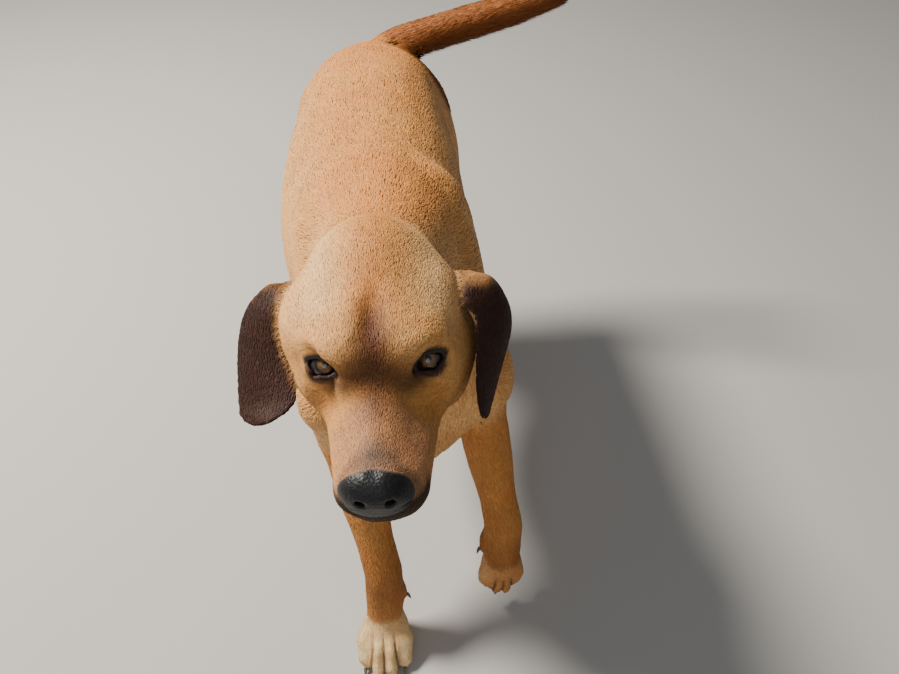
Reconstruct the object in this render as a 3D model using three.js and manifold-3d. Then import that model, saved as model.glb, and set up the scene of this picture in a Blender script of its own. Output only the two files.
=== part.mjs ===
// A short-haired yellow hound cross, life size, caught in mid walk: the right forefoot has just
// landed, the left forefoot swings, the left hind foot is well under the belly and the right hind
// foot is about to push off. Millimetres, +Z up. The dog faces -Y and its own left is +X. The
// origin is on the floor, under the middle of the trunk.
//
// The flesh is one implicit shape: a function of x, y and z that is negative inside the coat and
// positive outside. Each body part is a piece of it between thin plane cuts, meshed at a cell
// size that suits its detail. The outer surface is the tips of the coat.
import * as THREE from "three";
import Module from "manifold-3d";

const wasm = await Module();
wasm.setup();

// ---- Driving dimensions ----
const WITHERS_Z = 552; // top of the shoulders
const BACK_Z = 541; // top of the loin
const CROUP_Z = 518; // top of the rump
const BRISKET_Z = 276; // lowest point of the chest
const CHEST_HALF = 107; // half the width of the rib cage
const EYE_RADIUS = 11.5;
const EYE_SPACING = 70; // between the centres of the eyeballs
const EAR_THICK = 5;
const EAR_RIM = 0.25; // thickness of the ear's rim over the thickness of its middle
const CLAW_LENGTH = 9.5;
const CLAW_RADIUS = 3.1;
const GAP = 0.4; // width of the cut between two body parts
const LEFT = 1;
const RIGHT = -1;

// ---- Small vector helpers, on plain [x, y, z] arrays ----
const add = (a, b) => a.map((v, i) => v + b[i]);
const sub = (a, b) => a.map((v, i) => v - b[i]);
const scale = (a, s) => a.map((v) => v * s);
const mix = (a, b, t) => a.map((v, i) => v + (b[i] - v) * t);
const unit = (a) => scale(a, 1 / Math.hypot(...a));
const flip = ([x, y, z], s) => [x * s, y, z];

// ---- Implicit shapes: each is a function (x, y, z) => distance ----

// A tapered round limb between two joints.
function limb([ax, ay, az], ra, [bx, by, bz], rb) {
  const [dx, dy, dz] = [bx - ax, by - ay, bz - az];
  const length2 = dx * dx + dy * dy + dz * dz;
  return (x, y, z) => {
    const [px, py, pz] = [x - ax, y - ay, z - az];
    const t = Math.min(1, Math.max(0, (px * dx + py * dy + pz * dz) / length2));
    const [qx, qy, qz] = [px - dx * t, py - dy * t, pz - dz * t];
    return Math.sqrt(qx * qx + qy * qy + qz * qz) - ra - (rb - ra) * t;
  };
}

// An ellipsoid, tipped by an angle in degrees in the plane of y and z.
function blob([cx, cy, cz], [rx, ry, rz], tip = 0) {
  const [c, s] = [Math.cos((tip * Math.PI) / 180), Math.sin((tip * Math.PI) / 180)];
  return (x, y, z) => {
    const [px, qy, qz] = [x - cx, y - cy, z - cz];
    const [py, pz] = [qy * c + qz * s, qz * c - qy * s];
    const near = Math.sqrt((px / rx) ** 2 + (py / ry) ** 2 + (pz / rz) ** 2);
    const far = Math.sqrt((px / rx ** 2) ** 2 + (py / ry ** 2) ** 2 + (pz / rz ** 2) ** 2);
    return far < 1e-9 ? -Math.min(rx, ry, rz) : (near * (near - 1)) / far;
  };
}

// A body of egg-shaped sections along y. Each station gives the section's centre, its half width,
// and how far it goes up and down from the centre; between stations they ease smoothly.
function loft(stations, roundness) {
  const first = stations[0].y;
  const last = stations[stations.length - 1].y;
  return (x, y, z) => {
    const at = Math.min(last, Math.max(first, y));
    let i = 0;
    while (i < stations.length - 2 && stations[i + 1].y < at) i++;
    const [a, b] = [stations[i], stations[i + 1]];
    const before = stations[Math.max(0, i - 1)];
    const after = stations[Math.min(stations.length - 1, i + 2)];
    const t = (at - a.y) / (b.y - a.y);
    const eased = (key) => hermite(before, a, b, after, key, t);
    const [half, up, down] = [eased("half"), eased("up"), eased("down")];
    const dx = Math.abs(x - eased("x")) / half;
    const rise = z - eased("z");
    const dz = Math.abs(rise) / (rise > 0 ? up : down);
    const ring = (dx ** roundness + dz ** roundness) ** (1 / roundness);
    const out = (ring - 1) * Math.min(half, up, down);
    return Math.max(out, first - y, y - last);
  };
}

// One value of a loft station, eased through its neighbours with matching slopes.
function hermite(before, a, b, after, key, t) {
  const span = b.y - a.y;
  const slopeA = a === before ? 0 : ((b[key] - before[key]) / (b.y - before.y)) * span;
  const slopeB = b === after ? 0 : ((after[key] - a[key]) / (after.y - a.y)) * span;
  const t2 = t * t;
  const t3 = t2 * t;
  return (
    (2 * t3 - 3 * t2 + 1) * a[key] + (t3 - 2 * t2 + t) * slopeA +
    (3 * t2 - 2 * t3) * b[key] + (t3 - t2) * slopeB
  );
}

// Joins two distances with a fillet about k wide; carve is the same for taking away.
function meld(a, b, k) {
  const h = Math.max(k - Math.abs(a - b), 0) / k;
  return Math.min(a, b) - (h * h * k) / 4;
}
const carve = (a, b, k) => -meld(-a, b, k);

// Several shapes as one, with fillets.
function blend(k, ...shapes) {
  return (x, y, z) => {
    let d = shapes[0](x, y, z);
    for (let i = 1; i < shapes.length; i++) d = meld(d, shapes[i](x, y, z), k);
    return d;
  };
}

// Lengths of a limb that follow each other, so that their joints don't bulge.
function chain(...lengths) {
  return (x, y, z) => {
    let d = Infinity;
    for (let i = 0; i < lengths.length; i++) d = Math.min(d, lengths[i](x, y, z));
    return d;
  };
}

// The same shape on both sides of the plane x = 0.
const both = (shape) => (x, y, z) => shape(Math.abs(x), y, z);

// A shape given in a frame of its own, put in its place by a rigid matrix.
function placed(shape, matrix) {
  const e = matrix.clone().invert().elements;
  return (x, y, z) =>
    shape(
      e[0] * x + e[4] * y + e[8] * z + e[12],
      e[1] * x + e[5] * y + e[9] * z + e[13],
      e[2] * x + e[6] * y + e[10] * z + e[14],
    );
}

// A rigid matrix: turned by pitch (toes or nose down), roll and yaw in degrees, then moved.
function frameAt(at, { pitch = 0, roll = 0, yaw = 0 } = {}) {
  const turn = new THREE.Euler(...[pitch, roll, yaw].map(THREE.MathUtils.degToRad), "ZYX");
  return new THREE.Matrix4().makeRotationFromEuler(turn).setPosition(...at);
}
const inFrame = (matrix, p) => new THREE.Vector3(...p).applyMatrix4(matrix).toArray();
const turned = (matrix, p) => new THREE.Vector3(...p).transformDirection(matrix).toArray();

// ---- Trunk and neck ----
const station = (y, x, z, half, top, bottom) => ({ y, x, z, half, up: top - z, down: z - bottom });
const ribCage = loft(
  [
    station(-276, 9, 390, 58, 480, 290),
    station(-218, 6, 400, 79, 526, 272),
    station(-160, 0, 405, 94, WITHERS_Z, BRISKET_Z - 4),
    station(-90, -4, 405, CHEST_HALF - 3, 545, BRISKET_Z),
    station(-15, -3, 408, CHEST_HALF, BACK_Z, 287),
    station(60, 1, 418, CHEST_HALF - 5, BACK_Z - 1, 311),
    station(125, 8, 430, 91, 535, 337),
    station(185, 13, 438, 84, CROUP_Z, 352),
    station(232, 14, 442, 68, 488, 368),
    station(266, 12, 442, 46, 458, 396),
  ],
  2.25,
);
const NECK_BASE = [2, -205, 460];
const NECK_TOP = [-14, -312, 548];
const trunk = blend(
  34,
  ribCage,
  blob([12, -268, 362], [56, 40, 82], -10), // breast bone and the muscle in front of it
  blob([1, -158, 516], [44, 70, 34]), // withers
  blob([11, 178, 468], [66, 78, 44], 14), // croup
);
const neck = blend(
  36,
  limb(add(NECK_BASE, [0, 6, 22]), 60, add(NECK_TOP, [0, 4, 8]), 47), // crest
  limb(add(NECK_BASE, [2, -22, -36]), 66, add(NECK_TOP, [0, -4, -32]), 52), // throat
);

// ---- Legs, given by their joints ----
// scapula: top of the shoulder blade; knee is the stifle, hock the heel, knuckle the joint where
// the paw begins, sole the point on the floor under the big pad.
const foreLegs = {
  left: {
    side: LEFT,
    scapula: [52, -150, 510],
    shoulder: [76, -268, 385],
    elbow: [88, -222, 298],
    wrist: [109, -308, 156],
    knuckle: [107, -326, 98],
    pawTurn: { pitch: 54, yaw: -2 },
    spread: 12.8,
    pawSize: 0.92,
  },
  right: {
    side: RIGHT,
    scapula: [-48, -158, 512],
    shoulder: [-58, -276, 388],
    elbow: [-62, -238, 284],
    wrist: [-38, -330, 118],
    knuckle: [-43, -351, 42],
    pawTurn: { pitch: 0, yaw: -7 },
    spread: 16,
    pawSize: 0.96,
  },
};
const hindLegs = {
  left: {
    side: LEFT,
    hip: [66, 196, 428],
    knee: [88, 100, 338],
    hock: [74, 134, 158],
    knuckle: [70, 98, 42],
    pawTurn: { pitch: 0, yaw: 4 },
    spread: 16,
    pawSize: 0.9,
  },
  right: {
    side: RIGHT,
    hip: [-44, 200, 428],
    knee: [-68, 150, 312],
    hock: [-72, 268, 170],
    knuckle: [-72, 292, 44],
    pawTurn: { pitch: 0, yaw: -4 },
    spread: 16,
    pawSize: 0.9,
  },
};
const KNUCKLE_IN_PAW = [0, 14, 42]; // the knuckle, in the paw's own frame

// The paw's frame: origin on the floor under the big pad, toes towards -y.
function pawFrame(leg) {
  const matrix = frameAt([0, 0, 0], leg.pawTurn);
  const at = sub(leg.knuckle, inFrame(matrix, scale(KNUCKLE_IN_PAW, leg.pawSize)));
  if (leg.pawTurn.pitch === 0) at[2] = 0; // a planted paw stands on the floor
  return matrix.setPosition(...at);
}

// The four toes of a paw: where each one starts, arches and ends, in the paw's frame.
const toesOf = ({ spread }) =>
  [-1.5, -0.5, 0.5, 1.5].map((place) => {
    const reach = Math.abs(place) > 1 ? 29 : 42; // the two middle toes are longer
    const x = place * spread;
    return {
      root: [x * 0.66, 6, 35],
      arch: [x, -reach + 20, 29],
      tip: [x * 1.06, -reach, 12.5],
      pad: [x * 1.03, -reach + 7, 7],
    };
  });
const pawShape = (leg) =>
  blend(
    9,
    blob([0, 6, 33], [leg.spread + 11, 24, 19]), // back of the hand
    blob([0, 13, 10], [leg.spread + 3, 17, 13]), // big pad
    blend(
      3,
      ...toesOf(leg).map((toe) =>
        blend(
          5,
          limb(toe.root, 12.5, toe.arch, 11.5),
          limb(toe.arch, 11.5, toe.tip, 9.5),
          blob(toe.pad, [8.5, 12, 9]),
        ),
      ),
    ),
  );
const sized = (shape, size) => (x, y, z) => shape(x / size, y / size, z / size) * size;

function foreLegShape(leg) {
  const { side, scapula, shoulder, elbow, wrist, knuckle } = leg;
  const belly = mix(elbow, wrist, 0.3);
  const slim = mix(elbow, wrist, 0.78);
  const triceps = add(mix(shoulder, elbow, 0.45), [0, 42, 12]);
  return blend(
    14,
    blend(
      26,
      limb(scapula, 28, shoulder, 32),
      limb(add(scapula, [side * 6, 30, -60]), 27, add(elbow, [0, 16, 30]), 29),
      blob(triceps, [28, 48, 60], 28),
      limb(shoulder, 34, elbow, 30),
    ),
    chain(
      limb(elbow, 29, belly, 27.5),
      limb(belly, 27.5, slim, 21.5),
      limb(slim, 21.5, wrist, 22.5),
      limb(wrist, 22.5, knuckle, 21.5),
    ),
    limb(add(elbow, [0, 14, 4]), 19, mix(elbow, wrist, 0.5), 18.5), // point of the elbow
    blob(add(wrist, [0, 16, -12]), [9, 9, 10]), // wrist pad
    blob(dewclawAt(leg), [7, 9, 11]),
  );
}

// The small inner toe, on the inside of the leg below the wrist.
const dewclawAt = ({ side, wrist, knuckle }) =>
  add(mix(wrist, knuckle, 0.5), [-side * 20, 4, 0]);

function hindLegShape(leg) {
  const { side, hip, knee, hock, knuckle } = leg;
  const calf = add(mix(knee, hock, 0.3), [0, 22, 4]);
  const shin = mix(knee, hock, 0.43);
  const slim = mix(knee, hock, 0.85);
  return blend(
    14,
    blend(
      30,
      limb(hip, 48, knee, 34),
      limb(add(hip, [0, 34, -12]), 38, add(mix(knee, hock, 0.18), [-side * 3, 40, 12]), 28),
      blob(mix(hip, knee, 0.45), [38, 64, 74], 20),
    ),
    chain(
      limb(knee, 37, shin, 29),
      limb(shin, 29, slim, 18.5),
      limb(slim, 18.5, hock, 20.5),
      limb(hock, 20.5, knuckle, 21),
    ),
    limb(calf, 27, mix(knee, hock, 0.62), 19),
    limb(add(mix(knee, hock, 0.5), [0, 26, 0]), 10, add(hock, [0, 14, 8]), 10), // heel cord
    limb(add(hock, [0, 12, 6]), 12, mix(hock, knuckle, 0.45), 15), // point of the heel
  );
}

// ---- Tail ----
const tailPath = [
  { at: [8, 232, 474], radius: 28 },
  { at: [30, 252, 484], radius: 25.5 },
  { at: [62, 256, 498], radius: 22.5 },
  { at: [104, 249, 512], radius: 21 },
  { at: [151, 240, 527], radius: 20.5 },
  { at: [205, 230, 544], radius: 19 },
  { at: [256, 220, 562], radius: 15 },
  { at: [294, 211, 578], radius: 7.5 },
];
const tail = chain(
  ...tailPath.slice(1).map((b, i) => limb(tailPath[i].at, tailPath[i].radius, b.at, b.radius)),
);

// ---- Head, in its own frame: origin midway between the eyes, nose towards -y ----
const HEAD_AT = [-17, -386, 547];
const HEAD_TURN = { pitch: -5, roll: -1.7, yaw: -5.8 };
const headFrame = frameAt(HEAD_AT, HEAD_TURN);
const EYE_AT = [EYE_SPACING / 2, 3, 1];
const SKULL_HALF = 58;
const skull = blend(
  20,
  blob([1, 46, -6], [SKULL_HALF, 60, 47]), // brain case
  blob([0, 18, 6], [47, 33, 31]), // forehead
  both(blob([24, 4, 14], [19, 14, 11])), // brows
  both(limb([42, 12, -22], 16, [51, 54, -22], 20)), // cheek bones
  both(blob([39, 48, -46], [27, 38, 34])), // jaw muscles
  blob([0, 88, 22], [22, 18, 14]), // back of the skull
  blob([41, 58, 14], [16, 22, 18]), // root of the left ear
  blob([-51, 42, 8], [18, 26, 24]), // root of the right ear, which is drawn forward
  blob([0, 58, -66], [38, 44, 30]), // throat
);
const muzzle = blend(
  13,
  limb([0, 2, -20], 25, [0, -68, -30], 19.5), // bridge
  limb([22, 4, -42], 21, [15, -66, -42], 18), // left upper lip, which hangs a little fuller
  limb([-21, 4, -42], 20.5, [-12.5, -66, -42], 16.5), // right upper lip
  limb([0, 28, -70], 25, [0, -57, -64], 14), // lower jaw
  blob([1, -75, -38], [24, 14, 20]), // front of the lips
);
const nose = blob([0, -81, -25], [23, 14, 15.5]);
const furrow = limb([0, -8, 35], 5, [0, 44, 50], 6); // shallow groove up the forehead
const eyeHollow = both(blob([37.5, -9.5, 6], [12.5, 12, 10.5]));
const headShape = (x, y, z) => {
  let d = meld(skull(x, y, z), muzzle(x, y, z), 18);
  d = carve(d, eyeHollow(x, y, z), 8);
  d = carve(d, furrow(x, y, z), 10);
  return meld(d, nose(x, y, z), 5);
};

// ---- The whole flesh ----
const legShapes = [
  ...Object.values(foreLegs).map(foreLegShape),
  ...Object.values(hindLegs).map(hindLegShape),
];
const pawFrames = [...Object.values(foreLegs), ...Object.values(hindLegs)].map((leg) => ({
  leg,
  size: leg.pawSize,
  frame: pawFrame(leg),
}));
const pawShapes = pawFrames.map(({ leg, size, frame }) => placed(sized(pawShape(leg), size), frame));
const placedHead = placed(headShape, headFrame);
const flesh = (x, y, z) => {
  let d = meld(trunk(x, y, z), neck(x, y, z), 40);
  d = meld(d, placedHead(x, y, z), 22);
  d = meld(d, tail(x, y, z), 16);
  for (let i = 0; i < legShapes.length; i++) {
    d = meld(d, meld(legShapes[i](x, y, z), pawShapes[i](x, y, z), 10), 24);
  }
  return d;
};

// ---- Meshing the flesh ----

// The slope of a shape at a point, by small differences.
function slopeOf(shape, [x, y, z]) {
  const e = 0.2;
  return [
    shape(x + e, y, z) - shape(x - e, y, z),
    shape(x, y + e, z) - shape(x, y - e, z),
    shape(x, y, z + e) - shape(x, y, z - e),
  ].map((v) => v / (2 * e));
}

// Moves a point straight onto the shape's surface, by no more than the given distance.
function settle(shape, point, most) {
  let p = point;
  for (let i = 0; i < 3; i++) {
    const d = shape(...p);
    const slope = slopeOf(shape, p);
    const steep = Math.max(0.05, slope[0] ** 2 + slope[1] ** 2 + slope[2] ** 2);
    p = sub(p, scale(slope, d / steep));
  }
  const moved = sub(p, point);
  const far = Math.hypot(...moved);
  return far > most ? add(point, scale(moved, most / far)) : p;
}

// A closed mesh of a shape inside a box: one point in each grid cell that the surface crosses,
// and a square round each grid edge that it crosses.
function netMesh(shape, low, high, cell) {
  const n = low.map((v, i) => Math.ceil((high[i] - v) / cell) + 2);
  const corner = (i, j, k) => add(low, [(i - 0.5) * cell, (j - 0.5) * cell, (k - 0.5) * cell]);
  const index = (i, j, k) => (i * n[1] + j) * n[2] + k;
  const value = new Float64Array(n[0] * n[1] * n[2]).fill(1);
  for (let i = 1; i < n[0] - 1; i++)
    for (let j = 1; j < n[1] - 1; j++)
      for (let k = 1; k < n[2] - 1; k++) value[index(i, j, k)] = shape(...corner(i, j, k));
  const points = [];
  const pointIn = new Map();
  const pointOf = (i, j, k) => {
    const key = index(i, j, k);
    if (pointIn.has(key)) return pointIn.get(key);
    let [sum, count] = [[0, 0, 0], 0];
    const ends = [0, 1, 2, 3, 4, 5, 6, 7].map((c) => [i + (c % 2), j + ((c >> 1) % 2), k + (c >> 2)]);
    for (let a = 0; a < 8; a++)
      for (const bit of [1, 2, 4]) {
        if (a & bit) continue;
        const [va, vb] = [value[index(...ends[a])], value[index(...ends[a | bit])]];
        if (va < 0 === vb < 0) continue;
        sum = add(sum, mix(corner(...ends[a]), corner(...ends[a | bit]), va / (va - vb)));
        count++;
      }
    points.push(scale(sum, 1 / count));
    pointIn.set(key, points.length - 1);
    return points.length - 1;
  };
  const faces = [];
  const axes = [[1, 0, 0], [0, 1, 0], [0, 0, 1]];
  for (let i = 1; i < n[0] - 1; i++)
    for (let j = 1; j < n[1] - 1; j++)
      for (let k = 1; k < n[2] - 1; k++)
        for (let a = 0; a < 3; a++) {
          const here = value[index(i, j, k)];
          const there = value[index(...add([i, j, k], axes[a]))];
          if (here < 0 === there < 0) continue;
          const [u, v] = [axes[(a + 1) % 3], axes[(a + 2) % 3]];
          const square = [[0, 0], [1, 0], [1, 1], [0, 1]].map(([s, t]) =>
            pointOf(...sub([i, j, k], add(scale(u, s), scale(v, t)))),
          );
          if (here < 0) square.reverse();
          faces.push([square[0], square[2], square[1]], [square[0], square[3], square[2]]);
        }
  return { points, faces };
}

// Neighbouring points of each point.
function neighbours({ points, faces }) {
  const near = points.map(() => new Set());
  for (const f of faces)
    f.forEach((v, i) => {
      near[v].add(f[(i + 1) % 3]);
      near[v].add(f[(i + 2) % 3]);
    });
  return near;
}

// Evens the triangles out: each point moves towards the middle of its neighbours, along the surface.
function relax(mesh, shape, cell, rounds) {
  const near = neighbours(mesh);
  for (let round = 0; round < rounds; round++) {
    mesh.points = mesh.points.map((p, i) => {
      const around = [...near[i]];
      const total = around.reduce((s, q) => add(s, mesh.points[q]), [0, 0, 0]);
      const middle = scale(total, 1 / around.length);
      return settle(shape, mix(p, middle, 0.6), cell * 0.4);
    });
  }
  return mesh;
}

const faceNormal = (points, [a, b, c]) => {
  const [u, v] = [sub(points[b], points[a]), sub(points[c], points[a])];
  return [u[1] * v[2] - u[2] * v[1], u[2] * v[0] - u[0] * v[2], u[0] * v[1] - u[1] * v[0]];
};
const dot = (a, b) => a[0] * b[0] + a[1] * b[1] + a[2] * b[2];

// Merges the two ends of every edge shorter than the given length, where the mesh stays closed
// and no triangle turns over. A corner on a flat cut stays on all the cuts it lies on.
function thin(mesh, shortest, cutsThrough = () => []) {
  const { points } = mesh;
  const gone = new Set();
  const facesOf = points.map(() => new Set());
  const faces = mesh.faces.map((f) => [...f]);
  faces.forEach((f, i) => f.forEach((v) => facesOf[v].add(i)));
  const around = (v) => new Set([...facesOf[v]].flatMap((i) => faces[i]).filter((u) => u !== v));
  const edges = faces
    .flatMap(([a, b, c]) => [[a, b], [b, c], [c, a]])
    .filter(([a, b]) => a < b)
    .map(([a, b]) => ({ a, b, length: Math.hypot(...sub(points[a], points[b])) }))
    .filter((e) => e.length < shortest)
    .sort((e, f) => e.length - f.length);
  for (const { a, b } of edges) {
    if (gone.has(a) || gone.has(b)) continue;
    if (Math.hypot(...sub(points[a], points[b])) >= shortest) continue;
    const nearB = around(b);
    if ([...around(a)].filter((v) => nearB.has(v)).length !== 2) continue;
    const [cutsA, cutsB] = [cutsThrough(points[a]), cutsThrough(points[b])];
    const staysA = cutsB.every((c) => cutsA.includes(c));
    const staysB = cutsA.every((c) => cutsB.includes(c));
    if (!staysA && !staysB) continue;
    const free = !cutsA.length && !cutsB.length;
    const middle = free ? mix(points[a], points[b], 0.5) : staysA ? points[a] : points[b];
    const moved = (v) => (v === a || v === b ? middle : points[v]);
    const kept = [...facesOf[a], ...facesOf[b]].filter(
      (i) => !(faces[i].includes(a) && faces[i].includes(b)),
    );
    const turnsOver = kept.some((i) => {
      const before = faceNormal(points, faces[i]);
      const after = faceNormal(faces[i].map(moved), [0, 1, 2]);
      return dot(before, after) < 0.3 * Math.hypot(...before) * Math.hypot(...after);
    });
    if (turnsOver) continue;
    points[a] = middle;
    for (const i of [...facesOf[b]]) {
      const f = faces[i];
      if (f.includes(a)) {
        f.forEach((v) => facesOf[v].delete(i));
        faces[i] = [];
      } else {
        f[f.indexOf(b)] = a;
        facesOf[a].add(i);
      }
    }
    facesOf[b].clear();
    gone.add(b);
  }
  const place = new Map();
  points.forEach((_, i) => !gone.has(i) && place.set(i, place.size));
  return {
    points: points.filter((_, i) => !gone.has(i)),
    faces: faces.filter((f) => f.length).map((f) => f.map((v) => place.get(v))),
  };
}

function solidOf({ points, faces }) {
  return new wasm.Manifold(
    new wasm.Mesh({
      numProp: 3,
      vertProperties: new Float32Array(points.flat()),
      triVerts: new Uint32Array(faces.flat()),
    }),
  );
}

// A closed solid of a shape inside a box, with triangles about as long as the given size.
function meshed(shape, low, high, size) {
  const cell = size * 0.8;
  const grown = [add(low, [-cell, -cell, -cell]), add(high, [cell, cell, cell])];
  const inBox = (x, y, z) => {
    const below = Math.max(low[0] - x, low[1] - y, low[2] - z);
    const above = Math.max(x - high[0], y - high[1], z - high[2]);
    return Math.max(shape(x, y, z), below, above);
  };
  const net = relax(netMesh(inBox, ...grown, cell), inBox, cell, 3);
  return relax(thin(net, size * 0.82), inBox, size, 6);
}

// ---- Cutting the flesh into body parts ----
// A region is the space on the inner side of all its planes, each given by a point on it and a
// normal that points inwards.
const BIG = 3000;
const plane = (point, normal) => ({ point, normal: unit(normal) });
const mirrored = (side, planes) =>
  planes.map(({ point, normal }) => ({ point: flip(point, side), normal: flip(normal, side) }));

function halfSpace({ point, normal }, grow) {
  const box = new THREE.BoxGeometry(BIG, BIG, BIG).translate(0, 0, BIG / 2);
  const up = new THREE.Vector3(0, 0, 1);
  const turn = new THREE.Quaternion().setFromUnitVectors(up, new THREE.Vector3(...normal));
  box.applyQuaternion(turn);
  box.translate(...add(point, scale(normal, -grow)));
  return closedSolid(box);
}

// A three.js geometry with its shared corners merged, as a solid.
function closedSolid(geometry) {
  const flat = geometry.index ? geometry.toNonIndexed() : geometry;
  const position = flat.getAttribute("position");
  const found = new Map();
  const points = [];
  const order = [];
  for (let i = 0; i < position.count; i++) {
    const p = [position.getX(i), position.getY(i), position.getZ(i)];
    const key = p.map((v) => Math.round(v * 1000)).join();
    if (!found.has(key)) found.set(key, points.push(p) - 1);
    order.push(found.get(key));
  }
  const faces = [];
  for (let i = 0; i < order.length; i += 3) {
    const f = order.slice(i, i + 3);
    if (new Set(f).size === 3) faces.push(f);
  }
  return solidOf({ points, faces });
}

const regionSolid = (planes, grow) =>
  planes.map((p) => halfSpace(p, grow)).reduce((a, b) => a.intersect(b));
const holds = (planes, p, margin) => planes.every((s) => dot(sub(p, s.point), s.normal) > -margin);

// The box round the flesh in a region, found on a coarse grid.
const COARSE = 12;
const coarsePoints = [];
for (let x = -150; x <= 310; x += COARSE)
  for (let y = -500; y <= 345; y += COARSE)
    for (let z = -6; z <= 650; z += COARSE)
      if (flesh(x, y, z) < COARSE) coarsePoints.push([x, y, z]);

function boxRound(planes) {
  const low = [Infinity, Infinity, Infinity];
  const high = low.map((v) => -v);
  for (const p of coarsePoints)
    if (holds(planes, p, 2 * COARSE))
      p.forEach((v, i) => {
        low[i] = Math.min(low[i], v - COARSE);
        high[i] = Math.max(high[i], v + COARSE);
      });
  return [low, high];
}

const biggest = (solid) => solid.decompose().reduce((a, b) => (a.volume() > b.volume() ? a : b));

const FLOOR = plane([0, 0, 0], [0, 0, 1]);
function legRegion(side, planes) {
  return [FLOOR, plane([side, 0, 0], [side, 0, 0]), ...mirrored(side, planes)];
}
// A plane across a limb at a joint, halfway between its two bones, keeping the lower one.
const across = (from, joint, to, lift = 0) => {
  const down = add(unit(sub(joint, from)), unit(sub(to, joint)));
  return plane(add(joint, scale(unit(down), -lift)), down);
};

const foreRegion = ({ side }) =>
  legRegion(side, [
    plane([40, 0, 290], [0.97, 0, -0.24]),
    plane([0, -225, 425], [0, 0.1, -1]),
    plane([0, -128, 350], [0, -1, -0.12]),
  ]);
const hindRegion = ({ side, knee }) =>
  legRegion(side, [
    plane([24, 0, 318], [0.95, 0, -0.31]),
    plane([0, 200, 476], [0, -0.25, -1]),
    plane([0, knee[1] - 47, knee[2]], [0, 0.9, -0.3]),
  ]);
const pawRegion = (leg, from) => across(from, leg.knuckle, inFrame(pawFrame(leg), [0, -4, 10]), 12);

const SKULL_BACK = plane(inFrame(headFrame, [0, 84, -10]), turned(headFrame, [0, -0.9, 0.44]));
const MOUTH = plane(inFrame(headFrame, [0, -40, -52]), turned(headFrame, [0, 0.1, -1]));
const MOUTH_CORNER = plane(inFrame(headFrame, [0, 0, -52]), turned(headFrame, [0, -1, 0.3]));
const TAIL_ROOT = [
  plane([28, 252, 484], [0.8, 0.55, 0.25]),
  plane([0, 0, 452], [0.1, 0, 1]),
];
const JAW_FRONT = plane(inFrame(headFrame, [0, -200, 0]), turned(headFrame, [0, 1, 0]));

// Body parts in the order they are cut: each keeps what the ones before it have left.
const cuts = [
  { name: "jaw", size: 8, planes: [MOUTH, MOUTH_CORNER, JAW_FRONT] },
  { name: "head", size: 8.8, planes: [SKULL_BACK] },
  { name: "neck", size: 19, planes: [plane([0, -245, 478], [0, -0.62, 0.78])] },
  { name: "tail", size: 14, planes: TAIL_ROOT },
  ...Object.entries(foreLegs).flatMap(([name, leg]) => {
    const region = foreRegion(leg);
    const belowElbow = across(leg.shoulder, leg.elbow, leg.wrist);
    return [
      { name: `fore_paw_${name}`, size: 8, planes: [...region, pawRegion(leg, leg.wrist)] },
      { name: `forearm_${name}`, size: 14, planes: [...region, belowElbow] },
      { name: `upper_arm_${name}`, size: 21, planes: region },
    ];
  }),
  ...Object.entries(hindLegs).flatMap(([name, leg]) => {
    const region = hindRegion(leg);
    const belowHock = across(leg.knee, leg.hock, leg.knuckle);
    const belowKnee = across(leg.hip, leg.knee, leg.hock);
    return [
      { name: `hind_paw_${name}`, size: 8, planes: [...region, pawRegion(leg, leg.hock)] },
      { name: `hind_pastern_${name}`, size: 13, planes: [...region, belowHock] },
      { name: `shank_${name}`, size: 16, planes: [...region, belowKnee] },
      { name: `thigh_${name}`, size: 22, planes: region },
    ];
  }),
  { name: "trunk", size: 27, planes: [plane([0, 0, -10], [0, 0, 1])] },
];

// The flat cuts that a point lies on.
const flats = cuts.flatMap(({ planes }) =>
  planes.flatMap((p) => [{ ...p, off: 0 }, { ...p, off: -GAP }]),
);
const cutsThrough = (p) =>
  flats.filter(({ point, normal, off }) => Math.abs(dot(sub(p, point), normal) - off) < 0.002);

// A solid's corners and triangles.
function meshOf(solid) {
  const { numProp, vertProperties, triVerts } = solid.getMesh();
  const rows = (list, stride, width) => {
    const row = (_, i) => [...list.slice(i * stride, i * stride + width)];
    return Array.from({ length: list.length / stride }, row);
  };
  return { points: rows(vertProperties, numProp, 3), faces: rows(triVerts, 3, 3) };
}

// Draws apart corners that share one place, each towards its own neighbours.
function drawApart(mesh) {
  const near = neighbours(mesh);
  const found = new Map();
  mesh.points.forEach((p, i) => {
    const key = p.map((v) => Math.round(v * 100)).join();
    found.set(key, [...(found.get(key) ?? []), i]);
  });
  for (const group of found.values())
    if (group.length > 1)
      for (const i of group) {
        const around = [...near[i]].map((q) => mesh.points[q]);
        mesh.points[i] = mix(mesh.points[i], scale(around.reduce(add), 1 / around.length), 0.3);
      }
  return mesh;
}

const solids = new Map();
cuts.forEach(({ name, size, planes }, i) => {
  let solid = solidOf(meshed(flesh, ...boxRound(planes), size)).intersect(regionSolid(planes, 0));
  for (const taken of cuts.slice(0, i)) solid = solid.subtract(regionSolid(taken.planes, GAP));
  solids.set(name, solidOf(thin(drawApart(meshOf(biggest(solid))), size * 0.3, cutsThrough)));
});

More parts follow.
